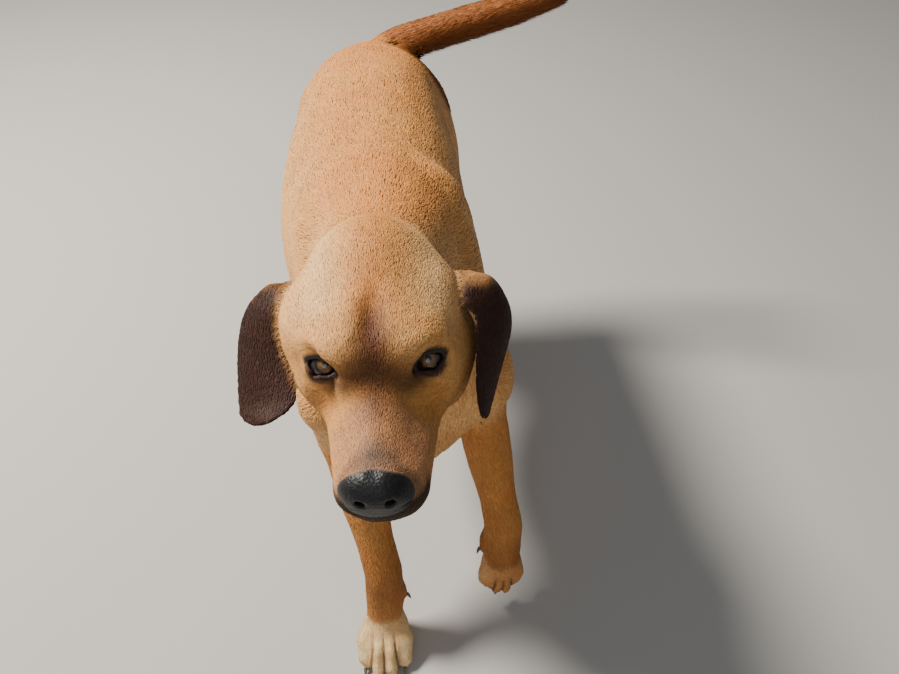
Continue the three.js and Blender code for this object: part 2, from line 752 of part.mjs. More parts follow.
// ---- Eyes ----
const eyeBall = (radius) => {
  const ball = new THREE.SphereGeometry(radius, 12, 7).rotateX(Math.PI / 2);
  return ball.rotateZ(Math.PI / 12);
};
const eyePlaces = { left: LEFT, right: RIGHT };
for (const [name, side] of Object.entries(eyePlaces)) {
  const at = frameAt(inFrame(headFrame, flip(EYE_AT, side)), HEAD_TURN);
  solids.set(`eye_${name}`, closedSolid(eyeBall(EYE_RADIUS).applyMatrix4(at)));
  const socket = closedSolid(eyeBall(EYE_RADIUS + 1.2 * GAP).applyMatrix4(at));
  solids.set("head", biggest(solids.get("head").subtract(socket)));
}

// ---- Ears: thin leaves, each given by rows across it from its root to its tip ----
// A row has its front edge, its rear edge, and how far its middle swells outwards. They are in
// the head's frame; the first row is inside the skull.
const earRows = {
  left: [
    { front: [44, 36, 15], rear: [46, 80, 20], swell: 4 },
    { front: [63, 40, 14], rear: [83, 86, 8], swell: 9 },
    { front: [69, 34, 5], rear: [99, 76, -25], swell: 9 },
    { front: [68, 14, -10], rear: [92, 62, -49], swell: 8 },
    { front: [67, -4, -22], rear: [83, 38, -57], swell: 6 },
    { front: [68, -15, -30], rear: [77, 13, -59], swell: 3 },
    { front: [70, -20, -36], rear: [74, -8, -49], swell: 0 },
  ],
  right: [
    { front: [-46, 32, 10], rear: [-50, 76, 20], swell: 4 },
    { front: [-60, 36, 10], rear: [-79, 80, 16], swell: 9 },
    { front: [-62, 30, 2], rear: [-102, 72, -2], swell: 9 },
    { front: [-60, 16, -12], rear: [-110, 53, -23], swell: 8 },
    { front: [-58, 3, -22], rear: [-110, 31, -40], swell: 7 },
    { front: [-60, -6, -27], rear: [-107, 11, -47], swell: 4 },
    { front: [-69, -13, -31], rear: [-100, -3, -45], swell: 2 },
    { front: [-78, -17, -33], rear: [-89, -13, -40], swell: 0 },
  ],
};
const EAR_COLUMNS = 4;

// A row between two others, eased through their neighbours.
function rowAt(rows, s) {
  const i = Math.min(rows.length - 2, Math.floor(s));
  const [a, b] = [rows[i], rows[i + 1]];
  const before = rows[Math.max(0, i - 1)];
  const after = rows[Math.min(rows.length - 1, i + 2)];
  const ease = (f) => {
    const [vp, va, vb, vn] = [before, a, b, after].map(f);
    const t = s - i;
    return va + 0.5 * t * (vb - vp + t * (2 * vp - 5 * va + 4 * vb - vn + t * (3 * (va - vb) + vn - vp)));
  };
  const point = (key) => [0, 1, 2].map((a) => ease((row) => row[key][a]));
  return { front: point("front"), rear: point("rear"), swell: ease((row) => row.swell) };
}

function leaf(rows, side) {
  const steps = Array.from({ length: 2 * rows.length - 1 }, (_, i) => rowAt(rows, i / 2));
  const middles = steps.map(({ front, rear }) => mix(front, rear, 0.5));
  const points = [];
  const at = [];
  let outward = [side * 0.5, 0, 1]; // at the root the ear's outer side looks up and out
  steps.forEach(({ front, rear, swell }, i) => {
    const along = sub(middles[Math.min(i + 1, steps.length - 1)], middles[Math.max(i - 1, 0)]);
    const wide = sub(rear, front);
    const normal = unit(faceNormal([[0, 0, 0], along, wide], [0, 1, 2]));
    outward = scale(normal, dot(normal, outward) < 0 ? -1 : 1);
    const ring = [];
    for (const face of [1, -1])
      for (let c = 0; c < EAR_COLUMNS; c++) {
        const t = (face > 0 ? c : EAR_COLUMNS - 1 - c) / (EAR_COLUMNS - 1);
        const arch = Math.sqrt(4 * t * (1 - t));
        const tip = i === steps.length - 1 ? 0.4 : 1;
        const half = (EAR_THICK / 2) * (EAR_RIM + (1 - EAR_RIM) * arch) * tip;
        const out = swell * 4 * t * (1 - t) + face * half;
        ring.push(points.push(add(mix(front, rear, t), scale(outward, out))) - 1);
      }
    at.push(ring);
  });
  const faces = [];
  const n = 2 * EAR_COLUMNS;
  for (let i = 0; i + 1 < at.length; i++)
    for (let c = 0; c < n; c++) {
      const d = (c + 1) % n;
      faces.push([at[i][c], at[i][d], at[i + 1][d]], [at[i][c], at[i + 1][d], at[i + 1][c]]);
    }
  for (const [ring, turn] of [[at[0], 1], [at[at.length - 1], -1]])
    for (let c = 0; c + 1 < EAR_COLUMNS; c++) {
      const square = [ring[c], ring[c + 1], ring[n - 2 - c], ring[n - 1 - c]];
      if (turn > 0) square.reverse();
      faces.push([square[0], square[1], square[2]], [square[0], square[2], square[3]]);
    }
  return facingOut({ points, faces });
}

// Turns all triangles over if the mesh is inside out.
function facingOut({ points, faces }) {
  const volume = faces.reduce((v, f) => v + dot(points[f[0]], faceNormal(points, f)), 0);
  return { points, faces: volume < 0 ? faces.map(([a, b, c]) => [a, c, b]) : faces };
}

// The flesh a little grown, where the ears meet the skull.
const behindNose = plane(inFrame(headFrame, [0, -30, 0]), turned(headFrame, [0, 1, 0]));
const nearSkull = boxRound([SKULL_BACK, behindNose]);
const roomForSkull = solidOf(meshed((x, y, z) => flesh(x, y, z) - 0.8, ...nearSkull, 9));
for (const [name, side] of Object.entries(eyePlaces)) {
  const { points, faces } = leaf(earRows[name], side);
  const ear = solidOf({ points: points.map((p) => inFrame(headFrame, p)), faces });
  solids.set(`ear_${name}`, biggest(ear.subtract(roomForSkull)));
}

// ---- Claws ----
// A short horn from a root, along a direction and then bending down.
function claw(root, along, down, size) {
  const rings = [[0, 0, 1], [0.5, 0.1, 0.78], [1, 0.3, 0.25]].map(([forth, drop, thick]) => ({
    at: add(root, add(scale(along, forth * CLAW_LENGTH * size), scale(down, drop * CLAW_LENGTH * size))),
    radius: CLAW_RADIUS * thick * size,
  }));
  const across = unit(faceNormal([[0, 0, 0], along, down], [0, 1, 2]));
  const sides = 5;
  const points = rings.flatMap(({ at, radius }) =>
    Array.from({ length: sides }, (_, i) => {
      const turn = (2 * Math.PI * i) / sides;
      const out = add(scale(across, 0.8 * radius * Math.cos(turn)), scale(down, radius * Math.sin(turn)));
      return add(at, out);
    }),
  );
  const faces = [];
  for (let r = 0; r < 2; r++)
    for (let i = 0; i < sides; i++) {
      const [a, b] = [r * sides + i, r * sides + ((i + 1) % sides)];
      faces.push([a, b, b + sides], [a, b + sides, a + sides]);
    }
  const end = 2 * sides;
  for (let i = 1; i < sides - 1; i++) faces.push([0, i + 1, i], [end, end + i, end + i + 1]);
  return solidOf(facingOut({ points, faces }));
}

// Where a line from inside the flesh comes out of it.
function comesOut(from, along) {
  let p = from;
  while (flesh(...p) < GAP + 0.1) p = add(p, scale(along, 0.25));
  return p;
}
// A claw, cut back where it would touch the body parts it grows from.
function addClaw(name, root, along, down, size, parts) {
  let solid = claw(root, along, down, size);
  for (const part of parts) {
    solid = solid.subtract(solids.get(part).translate(scale(along, GAP)));
  }
  solids.set(name, biggest(solid));
}
const NAMES = ["a", "b", "c", "d"];
for (const { leg, size, frame } of pawFrames) {
  const side = leg.side === LEFT ? "left" : "right";
  const foot = `${leg.elbow ? "fore" : "hind"}_${side}`;
  const paw = `${leg.elbow ? "fore" : "hind"}_paw_${side}`;
  const along = turned(frame, [0, -0.88, -0.48]);
  const down = turned(frame, [0, 0.48, -0.88]);
  toesOf(leg).forEach((toe, i) => {
    const root = comesOut(inFrame(frame, scale(add(toe.tip, [0, 0, 1]), size)), along);
    addClaw(`claw_${foot}_${NAMES[i]}`, root, along, down, size, [paw]);
  });
  if (leg.elbow) {
    const out = unit([-leg.side * 0.72, -0.35, -0.6]);
    const below = unit([leg.side * 0.4, -0.5, -0.3]);
    const square = unit(sub(below, scale(out, dot(below, out))));
    addClaw(`dewclaw_${foot}`, comesOut(dewclawAt(leg), out), out, square, 0.8, [paw, `forearm_${side}`]);
  }
}

// ---- Output ----
const COAT = 0xc58f5a;
const colours = [
  [/^ear/, 0x4b3124, 0.9],
  [/^eye/, 0x4a3524, 0.15],
  [/claw/, 0x2e2823, 0.45],
  [/paw/, 0xd6b48a, 0.9],
  [/^(forearm|hind_pastern)/, 0xbd8450, 0.9],
  [/./, COAT, 0.9],
];
const dog = new THREE.Group();
function addNode(name, solid) {
  const { points, faces } = meshOf(solid);
  const geometry = new THREE.BufferGeometry();
  geometry.setAttribute("position", new THREE.Float32BufferAttribute(points.flat(), 3));
  geometry.setIndex(faces.flat());
  geometry.computeVertexNormals();
  const [, color, roughness] = colours.find(([pattern]) => pattern.test(name));
  const node = new THREE.Mesh(geometry, new THREE.MeshStandardMaterial({ color, roughness, metalness: 0 }));
  node.name = name;
  dog.add(node);
}
for (const [name, solid] of solids) addNode(name, solid);

// The origin goes to the middle of the dog's box, on the floor.
const box = new THREE.Box3().setFromObject(dog);
const middle = box.getCenter(new THREE.Vector3());
for (const node of dog.children) node.geometry.translate(-middle.x, -middle.y, -box.min.z);

export default dog;
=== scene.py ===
"""A still, life-size yellow dog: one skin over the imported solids, with its coat, eyes and claws.

Lengths are metres, but for those in the head's own frame and in TUFT and DEPTH, which are millimetres.
"""

import math

import bpy
import numpy as np
import openvdb as vdb
from mathutils import Euler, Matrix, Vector
from mathutils.bvhtree import BVHTree


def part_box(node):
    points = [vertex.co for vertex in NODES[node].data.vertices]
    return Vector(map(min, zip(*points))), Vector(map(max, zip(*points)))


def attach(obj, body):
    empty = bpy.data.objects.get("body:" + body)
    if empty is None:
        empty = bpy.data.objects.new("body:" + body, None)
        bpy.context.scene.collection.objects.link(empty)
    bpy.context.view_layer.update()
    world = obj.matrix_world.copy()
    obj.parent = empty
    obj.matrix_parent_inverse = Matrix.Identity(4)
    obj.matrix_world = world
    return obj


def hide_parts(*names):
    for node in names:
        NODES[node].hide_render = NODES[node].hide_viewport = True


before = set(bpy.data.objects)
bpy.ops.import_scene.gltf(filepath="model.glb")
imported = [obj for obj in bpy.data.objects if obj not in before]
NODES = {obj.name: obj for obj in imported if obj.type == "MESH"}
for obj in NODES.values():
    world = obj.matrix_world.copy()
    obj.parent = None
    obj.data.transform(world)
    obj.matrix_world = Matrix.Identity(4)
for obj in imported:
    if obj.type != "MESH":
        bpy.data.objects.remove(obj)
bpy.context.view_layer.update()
MM = 0.001
rng = np.random.default_rng(7)

# ---- Places, from the frame ----
FLESH = [n for n in NODES if not n.startswith("eye_") and "claw" not in n]
CLAWS = [n for n in NODES if "claw" in n]


def centre(node):
    low, high = (np.array(c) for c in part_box(node))
    return (low + high) / 2


EYES = {side: centre("eye_" + side) for side in ("left", "right")}
EYE_MIDDLE = (EYES["left"] + EYES["right"]) / 2
BALL = 11.5  # radius of an eyeball, in millimetres
HEAD_TURN = (-5, -1.7, -5.8)  # the head's pitch, roll and yaw, in degrees
HEAD_AXES = np.array(Euler([math.radians(a) for a in HEAD_TURN], "XYZ").to_matrix())
EYE_IN_HEAD = np.array([35, 3, 1])  # the left eyeball's middle, in the head's frame
HEAD_AT = EYE_MIDDLE - HEAD_AXES @ (EYE_IN_HEAD * [0, 1, 1] * MM)


def to_head(p):
    """Points in the head's own frame, in millimetres: nose towards -y, the dog's left is +x."""
    return (p - HEAD_AT) @ HEAD_AXES / MM


def from_head(p):
    """The other way: a place in the head's own frame, in metres."""
    return HEAD_AT + (HEAD_AXES @ np.asarray(p, float)) * MM


# ---- Small tools on signed distances, in millimetres ----
def meld(a, b, k):
    """Two shapes as one, rounded over a width k where they meet."""
    h = np.maximum(k - np.abs(a - b), 0) / k
    return np.minimum(a, b) - h * h * k / 4


def carve(a, b, k):
    """The first shape with the second cut out of it, rounded over a width k along the cut."""
    return -meld(-a, b, k)


def limb(p, a, b, ra, rb=None):
    """Distance to a round bar from a to b, with a radius at each end."""
    a, b = np.asarray(a, float), np.asarray(b, float)
    rb = ra if rb is None else rb
    axis = b - a
    t = np.clip(((p - a) @ axis) / (axis @ axis), 0, 1)
    return np.linalg.norm(p - a - t[..., None] * axis, axis=-1) - ra - (rb - ra) * t


def blob(p, at, radii):
    """Distance to an egg with the given half sizes."""
    r = np.asarray(radii, float)
    q = (p - np.asarray(at, float)) / r
    near = np.linalg.norm(q, axis=-1)
    far = np.linalg.norm(q / r, axis=-1)
    return near * (near - 1) / np.maximum(far, 1e-9)


def ease(a, b, x):
    """From 0 at a to 1 at b, level at both ends."""
    t = np.clip((x - a) / (b - a), 0, 1)
    return t * t * (3 - 2 * t)


def hump(x, width):
    """1 at zero, falling off on both sides."""
    return np.exp(-((x / width) ** 2))


def unit(v):
    """Vectors made one long."""
    v = np.asarray(v, float)
    return v / np.maximum(np.linalg.norm(v, axis=-1, keepdims=True), 1e-12)


# ---- The space in which the skin is meshed: the face is magnified, so it gets a finer mesh ----
FINE_AT = from_head([0, -14, -18])
FINE_REACH = (0.072, 0.122)  # the space is magnified in full up to the first radius
MAGNIFY = 3.4
VOXEL = 3.7 * MM
RADII = np.linspace(0, 2, 4001)
STRETCH = 1 + (MAGNIFY - 1) * (1 - ease(*FINE_REACH, RADII))
GROWN = np.concatenate([[0], np.cumsum((STRETCH[1:] + STRETCH[:-1]) / 2 * np.diff(RADII))])


def magnify(p):
    """Places of the real space, in the magnified one."""
    d = p - FINE_AT
    r = np.linalg.norm(d, axis=-1, keepdims=True)
    return FINE_AT + d * np.interp(r, RADII, GROWN) / np.maximum(r, 1e-9)


def shrink(p):
    """Places of the magnified space, in the real one."""
    d = p - FINE_AT
    r = np.linalg.norm(d, axis=-1, keepdims=True)
    return FINE_AT + d * np.interp(r, GROWN, RADII) / np.maximum(r, 1e-9)


def growth(p):
    """How much larger lengths are in the magnified space, at points of the real one."""
    return np.interp(np.linalg.norm(p - FINE_AT, axis=-1), RADII, STRETCH)


# ---- The solids, joined and rounded ----
def mesh_arrays(mesh):
    """A mesh's corners and triangles."""
    mesh.calc_loop_triangles()
    points = np.empty(len(mesh.vertices) * 3)
    mesh.vertices.foreach_get("co", points)
    tris = np.empty(len(mesh.loop_triangles) * 3, dtype=np.int32)
    mesh.loop_triangles.foreach_get("vertices", tris)
    return points.reshape(-1, 3), tris.reshape(-1, 3)


def merged(points, tris):
    """The same triangles with each corner listed once."""
    keys = np.round(points / (0.001 * MM)).astype(np.int64)
    _, first, back = np.unique(keys, axis=0, return_index=True, return_inverse=True)
    return points[first], back.reshape(-1)[tris]


def normals_of(points, tris):
    """Each triangle's normal and twice its area."""
    corners = points[tris]
    normal = np.cross(corners[:, 1] - corners[:, 0], corners[:, 2] - corners[:, 0])
    size = np.linalg.norm(normal, axis=1, keepdims=True)
    return normal / np.maximum(size, 1e-14), size


CUT_REACH = 1.0 * MM  # how far in front of a cut the next node is


def flesh_nodes():
    """Each flesh node's corners and triangles, and which triangles are cuts facing another node."""
    parts = [merged(*mesh_arrays(NODES[n].data)) for n in FLESH]
    starts = np.cumsum([0] + [len(p) for p, _ in parts])
    points = np.concatenate([p for p, _ in parts])
    tris = np.concatenate([t + s for (_, t), s in zip(parts, starts)])
    owner = np.repeat(np.arange(len(parts)), [len(t) for _, t in parts])
    normal, _ = normals_of(points, tris)
    tree = BVHTree.FromPolygons(points.tolist(), tris.tolist())
    cut = np.zeros(len(tris), bool)
    for i, (m, n) in enumerate(zip(points[tris].mean(1), normal)):
        hit = tree.ray_cast(Vector(m + n * 0.02 * MM), Vector(n), CUT_REACH)
        cut[i] = hit[0] is not None and owner[hit[2]] != owner[i]
    return [(p, t, cut[owner == i]) for i, (p, t) in enumerate(parts)]


def rounded(points, tris, cut, steps=4, bulge=0.7):
    """The triangles split small, those of the outside bulged to follow the body's curve."""
    normal, size = normals_of(points, tris)
    corner_normal = np.zeros_like(points)
    for c in range(3):
        np.add.at(corner_normal, tris[~cut, c], normal[~cut] * size[~cut])
    corner_normal = unit(corner_normal)
    many = len(points)
    outer_edges = np.sort(tris[~cut][:, [[0, 1], [1, 2], [2, 0]]], axis=2).reshape(-1, 2)
    outer_keys = np.unique(outer_edges[:, 0] * many + outer_edges[:, 1])
    grid = [(i, j) for i in range(steps + 1) for j in range(steps + 1 - i)]
    place = {g: k for k, g in enumerate(grid)}
    weights = np.array([(i, j, steps - i - j) for i, j in grid]) / steps
    small = []
    for i, j in grid:
        if i + j < steps:
            small.append((place[i, j], place[i + 1, j], place[i, j + 1]))
        if i + j < steps - 1:
            small.append((place[i + 1, j], place[i + 1, j + 1], place[i, j + 1]))
    flat = np.einsum("gc,tcd->tgd", weights, points[tris])
    lift = np.zeros_like(flat)
    for c in range(3):
        n = corner_normal[tris[:, c]][:, None]
        off = ((flat - points[tris[:, c]][:, None]) * n).sum(-1, keepdims=True)
        lift -= weights[None, :, c, None] * off * n
    moves = np.broadcast_to(~cut[:, None], flat.shape[:2]).copy()
    for c, others in enumerate(((1, 2), (2, 0), (0, 1))):
        edge = np.sort(tris[:, others], axis=1)
        shared = np.isin(edge[:, 0] * many + edge[:, 1], outer_keys)
        moves |= shared[:, None] & (weights[None, :, c] == 0)
    out = flat + bulge * lift * moves[..., None]
    faces = np.array(small)[None] + (np.arange(len(tris)) * len(grid))[:, None, None]
    return out.reshape(-1, 3), faces.reshape(-1, 3)


GRID = vdb.createLinearTransform(voxelSize=VOXEL)


def distances(points, faces, band):
    """Signed distances within band voxels of a closed shape, and the first voxel's index."""
    kind = "triangles" if faces.shape[1] == 3 else "quads"
    corners = {kind: faces.astype(np.uint32)}
    grid = vdb.FloatGrid.createLevelSetFromPolygons(
        points.astype(np.float32), transform=GRID, halfWidth=band, **corners
    )
    low = np.floor(points.min(0) / VOXEL).astype(int) - band - 1
    high = np.ceil(points.max(0) / VOXEL).astype(int) + band + 2
    values = np.empty(high - low, dtype=np.float32)
    grid.copyToArray(values, ijk=tuple(int(v) for v in low))
    return values, low


def union(shapes, band):
    """The distances of all shapes as one field, which shape is nearest, and the first index."""
    made = [distances(*shape, band) for shape in shapes]
    low = np.min([start for _, start in made], axis=0)
    high = np.max([start + v.shape for v, start in made], axis=0)
    field = np.full(high - low, band * VOXEL, dtype=np.float32)
    label = np.zeros(high - low, dtype=np.uint8)
    for i, (values, start) in enumerate(made):
        where = tuple(slice(a, a + n) for a, n in zip(start - low, values.shape))
        nearer = values < field[where]
        field[where][nearer] = values[nearer]
        label[where][nearer] = i
    return field, label, low


def surface(field, low, band):
    """Corners and quads of the surface where the distances are zero."""
    grid = vdb.FloatGrid(band * VOXEL)
    grid.transform = GRID
    grid.gridClass = vdb.GridClass.LEVEL_SET
    grid.copyFromArray(field, ijk=tuple(int(v) for v in low))
    points, quads = grid.convertToQuads()
    return np.asarray(points, float), np.asarray(quads, dtype=np.int32)[:, ::-1]


# ---- Smoothing over a mesh ----
def edges_of(faces):
    """The two ends of every edge, each edge once."""
    sides = faces.shape[1]
    pairs = np.concatenate([faces[:, [i, (i + 1) % sides]] for i in range(sides)])
    pairs.sort(axis=1)
    many = int(faces.max()) + 1
    keys = np.unique(pairs[:, 0].astype(np.int64) * many + pairs[:, 1])
    return keys // many, keys % many


def averaged(values, edges, counts):
    """For each corner the mean of its neighbours' values."""
    a, b = edges
    out = np.empty_like(values)
    for c in range(values.shape[1]):
        total = np.bincount(a, values[b, c], len(values)) + np.bincount(b, values[a, c], len(values))
        out[:, c] = total / counts
    return out


def smoothed(points, faces, rounds, weight=None):
    """Evens the surface out without shrinking it: each round pulls in and then pushes back."""
    edges = edges_of(faces)
    counts = np.bincount(np.concatenate(edges), minlength=len(points)).clip(1)
    weight = 1 if weight is None else weight[:, None]
    for _ in range(rounds):
        for step in (0.6, -0.63):
            points = points + step * weight * (averaged(points, edges, counts) - points)
    return points


def spread(values, faces, rounds):
    """Values on a mesh's corners, blurred over the mesh."""
    edges = edges_of(faces)
    counts = np.bincount(np.concatenate(edges), minlength=len(values)).clip(1)
    for _ in range(rounds):
        values = 0.4 * values + 0.6 * averaged(values, edges, counts)
    return values


def vertex_normals(points, tris):
    """The normal at each corner, from the triangles round it by their size."""
    a, b, c = (points[tris[:, i]] for i in range(3))
    n = np.cross(b - a, c - a)
    out = np.zeros_like(points)
    for i in range(3):
        for k in range(3):
            out[:, k] += np.bincount(tris[:, i], n[:, k], len(points))
    return unit(out)


def refined(points, tris, chosen):
    """Splits the chosen triangles in four, and their neighbours so that no gap opens."""
    many = len(points)
    sides = np.sort(tris[:, [[0, 1], [1, 2], [2, 0]]], axis=2).astype(np.int64)
    keys = sides[..., 0] * many + sides[..., 1]
    split = np.unique(keys[chosen])
    found = np.minimum(np.searchsorted(split, keys), len(split) - 1)
    cut = split[found] == keys
    new = many + found
    kind = cut.sum(1)
    out = [tris[kind == 0]]
    for turn in range(3):
        order = [turn, (turn + 1) % 3, (turn + 2) % 3]
        pick = (kind == 1) & cut[:, turn]
        (a, b, c), (ab, _, _) = tris[pick][:, order].T, new[pick][:, order].T
        out += [np.stack([a, ab, c], 1), np.stack([ab, b, c], 1)]
        pick = (kind == 2) & ~cut[:, turn]
        (a, b, c), (_, bc, ca) = tris[pick][:, order].T, new[pick][:, order].T
        out += [np.stack([a, b, bc], 1), np.stack([a, bc, ca], 1), np.stack([ca, bc, c], 1)]
    (a, b, c), (ab, bc, ca) = tris[kind == 3].T, new[kind == 3].T
    out += [np.stack([a, ab, ca], 1), np.stack([ab, b, bc], 1)]
    out += [np.stack([ca, bc, c], 1), np.stack([ab, bc, ca], 1)]
    middles = (points[split // many] + points[split % many]) / 2
    return np.concatenate([points, middles]), np.concatenate(out).astype(np.int32)


BAND = 4  # half the width of the distance fields that are only joined, in voxels
CLOSING = 0.35 * MM  # more than half of the cut between two nodes


def joined_flesh():
    """The flesh's solids as one even shape, and a field of which solid is nearest."""
    shapes = []
    for points, tris, cut in flesh_nodes():
        points, faces = rounded(points, tris, cut)
        shapes.append((magnify(points), faces))
    field, label, low = union(shapes, BAND)
    points, quads = surface(field - CLOSING, low, BAND)
    return smoothed(shrink(points), quads, 25), quads, label, low


# ---- Sculpting the head ----
def aim(outward, up):
    """A direction in the head's frame for the dog's left side, by its angles from straight ahead."""
    a, b = math.radians(outward), math.radians(up)
    return np.array([math.sin(a) * math.cos(b), -math.cos(a) * math.cos(b), math.sin(b)])


# The opening between the lids: where its middle faces, how far it leans, half its width, and how
# far it reaches above and below the line between its corners, measured along the eyeball.
OPENING = aim(9, 36)
OPENING_SLANT = math.radians(17)
OPENING_HALF = 10.8
OPENING_TOP = 4.3
OPENING_LOW = 5.3


def eye_axes():
    """The opening's own directions towards its outer corner and upwards."""
    out = unit(np.cross([0, 0, 1], OPENING))
    up = np.cross(OPENING, out)
    c, s = math.cos(OPENING_SLANT), math.sin(OPENING_SLANT)
    return c * out + s * up, c * up - s * out


EYE_OUT, EYE_UP = eye_axes()


def round_eye(q):
    """For points of the head's left half: how far they are from the eyeball's middle, how far
    outside the edge of the lids, and where they are outwards and upwards along the ball."""
    v = q - EYE_IN_HEAD
    r = np.linalg.norm(v, axis=-1)
    ahead, out, up = v @ OPENING, v @ EYE_OUT, v @ EYE_UP
    side = np.hypot(out, up)
    along = np.arctan2(side, ahead) * BALL / np.maximum(side, 1e-9)
    out, up = out * along, up * along
    top = (OPENING_HALF**2 + OPENING_TOP**2) / (2 * OPENING_TOP)
    low = (OPENING_HALF**2 + OPENING_LOW**2) / (2 * OPENING_LOW)
    above = np.hypot(out, up - OPENING_TOP + top) - top
    below = np.hypot(out, up + OPENING_LOW - low) - low
    return r, -meld(-above, -below, 1.5), out, up


def left_half(q):
    """Points of the head with the right half mirrored onto the left one."""
    return np.stack([np.abs(q[:, 0]), q[:, 1], q[:, 2]], axis=1)


def lip_line(y):
    """Height of the upper lip's lower edge."""
    return -54 - 2.5 * np.sin(np.clip((y + 90) / 80, 0, 1) * math.pi) + 0.06 * (y + 40)


def sculpt_head(d, q):
    """The distances d at places q of the head's frame, with the lids, nose and lips worked in."""
    half = left_half(q)
    x, y, z = half.T
    # Lids: a thin shell over the ball, open in front, with a fold over it and one under it.
    r, edge, out, up = round_eye(half)
    close = r < BALL + 9
    shell = np.abs(r - BALL - 1.4) - 1.2
    window = np.maximum(edge - 0.3 * (r - BALL), np.maximum(BALL - 3 - r, r - BALL - 7))
    d = np.where(close, carve(d, window, 2.0), d)
    lids = -meld(-shell, edge, 1.4)
    d = np.where(close, meld(d, lids, 4.0), d)
    fade = ease(BALL + 8, BALL + 4, r)
    d = d + 0.9 * hump(edge - 5.0, 1.2) * ease(-2, 3, up) * fade
    d = d + 0.5 * hump(edge - 5.5, 1.5) * ease(0, -5, up) * fade
    d = carve(d, r - BALL - 0.1, 0.4)
    # Nose: two nostrils with a slit each, the groove between them, and the dip on top.
    d = carve(d, limb(half, (8.4, -100, -27), (9.8, -86, -25), 3.4, 2.6), 1.5)
    d = carve(d, limb(half, (10, -97.0, -30.5), (17.5, -91, -33.5), 1.8, 1.3), 1.5)
    d = carve(d, limb(half, (17.5, -91, -33.5), (24, -82, -33.5), 1.3, 0.6), 1.5)
    d = carve(d, limb(half, (0, -98, -24), (0, -93, -52), 0.8, 1.2), 1.5)
    d = carve(d, blob(half, (0, -92, -8), (4, 11, 2.5)), 4)
    # Lips: the upper one hangs over the lower jaw.
    over = z - lip_line(y)
    along = ease(4, -10, y)
    inset = 3.4 * ease(0.9, -0.9, over) * np.exp(np.minimum(over, 0) / 9)
    bulge = 0.9 * hump(over - 3, 3.0)
    return d + along * (inset - bulge) * ease(-30, -20, -np.abs(over))


WIDE = 8  # half the width of the distance field that is sculpted, in voxels
HEAD_REACH = 0.12  # all that is sculpted lies this near to the middle of the face


def sculpted(points, quads):
    """The whole shape again, with the head sculpted."""
    field, low = distances(magnify(points), quads, WIDE)
    near = np.argwhere(np.abs(field) < WIDE * VOXEL * 0.999)
    place = shrink((near + low) * VOXEL)
    in_head = np.linalg.norm(place - FINE_AT, axis=1) < HEAD_REACH
    near, place = near[in_head], place[in_head]
    scale = growth(place) * MM
    values = sculpt_head(field[tuple(near.T)] / scale, to_head(place))
    field[tuple(near.T)] = np.clip(values * scale, -WIDE * VOXEL, WIDE * VOXEL)
    points, quads = surface(field, low, WIDE)
    points = smoothed(shrink(points), quads, 2)
    q = to_head(points)
    nose_tip = ease(8, 2, blob(q, (0, -88, -27), (22, 12, 15))) * ease(-70, -76, q[:, 1])
    return smoothed(points, quads, 14, nose_tip), quads


points, quads, label, label_low = joined_flesh()
points, quads = sculpted(points, quads)

# ---- Which part of the body each corner of the skin is on ----
def node_at(p):
    """The number in FLESH of the solid that each point lies on."""
    at = np.round(magnify(p) / VOXEL).astype(int) - label_low
    return label[tuple(np.clip(at, 0, np.array(label.shape) - 1).T)]


IS_PAW = np.array(["paw" in name for name in FLESH])
TOE_REACH = 0.036  # the toes are what lies this near to a claw


def fine_paws(points, triangles):
    """The paws' triangles split in four, those of the toes twice, and evened out."""
    claws_at = np.array([centre(claw) for claw in CLAWS])
    for reach in (1.0, TOE_REACH):
        from_claws = np.linalg.norm(points[:, None] - claws_at[None], axis=2).min(1)
        chosen = IS_PAW[node_at(points)] & (from_claws < reach)
        points, triangles = refined(points, triangles, chosen[triangles].any(1))
    on_node = node_at(points)
    paw = spread(IS_PAW[on_node][:, None] * 1.0, triangles, 4)[:, 0]
    return smoothed(points, triangles, 5, paw), triangles, on_node


points, triangles, on_node = fine_paws(points, np.concatenate([quads[:, :3], quads[:, [0, 2, 3]]]))
GROUPS = {
    "face": ("head", "jaw"),
    "ear": ("ear_",),
    "neck": ("neck",),
    "trunk": ("trunk", "upper_arm", "thigh"),
    "leg": ("forearm", "shank", "hind_pastern"),
    "paw": ("fore_paw", "hind_paw"),
    "tail": ("tail",),
}


def group_shares():
    """How far each corner of the skin belongs to each group, fading over the borders."""
    of_node = [[n.startswith(starts) for starts in GROUPS.values()] for n in FLESH]
    shares = spread(np.array(of_node, float)[on_node], triangles, 12)
    shares /= shares.sum(1, keepdims=True)
    return {name: shares[:, i] for i, name in enumerate(GROUPS)}


SHARE = group_shares()

# ---- Toes: grooves between them, and the skin drawn to the roots of the claws ----
GROOVE_DEPTH = 3.2 * MM
GROOVE_SPACING = 1.22  # the outer grooves over the middles between the claws, as toes widen inwards


def claw_root(claw, paw_middle):
    """The middle of the end of a claw that is nearest to its paw."""
    p, _ = mesh_arrays(NODES[claw].data)
    far = np.linalg.norm(p - paw_middle, axis=1)
    return p[far <= np.quantile(far, 0.35)].mean(0)


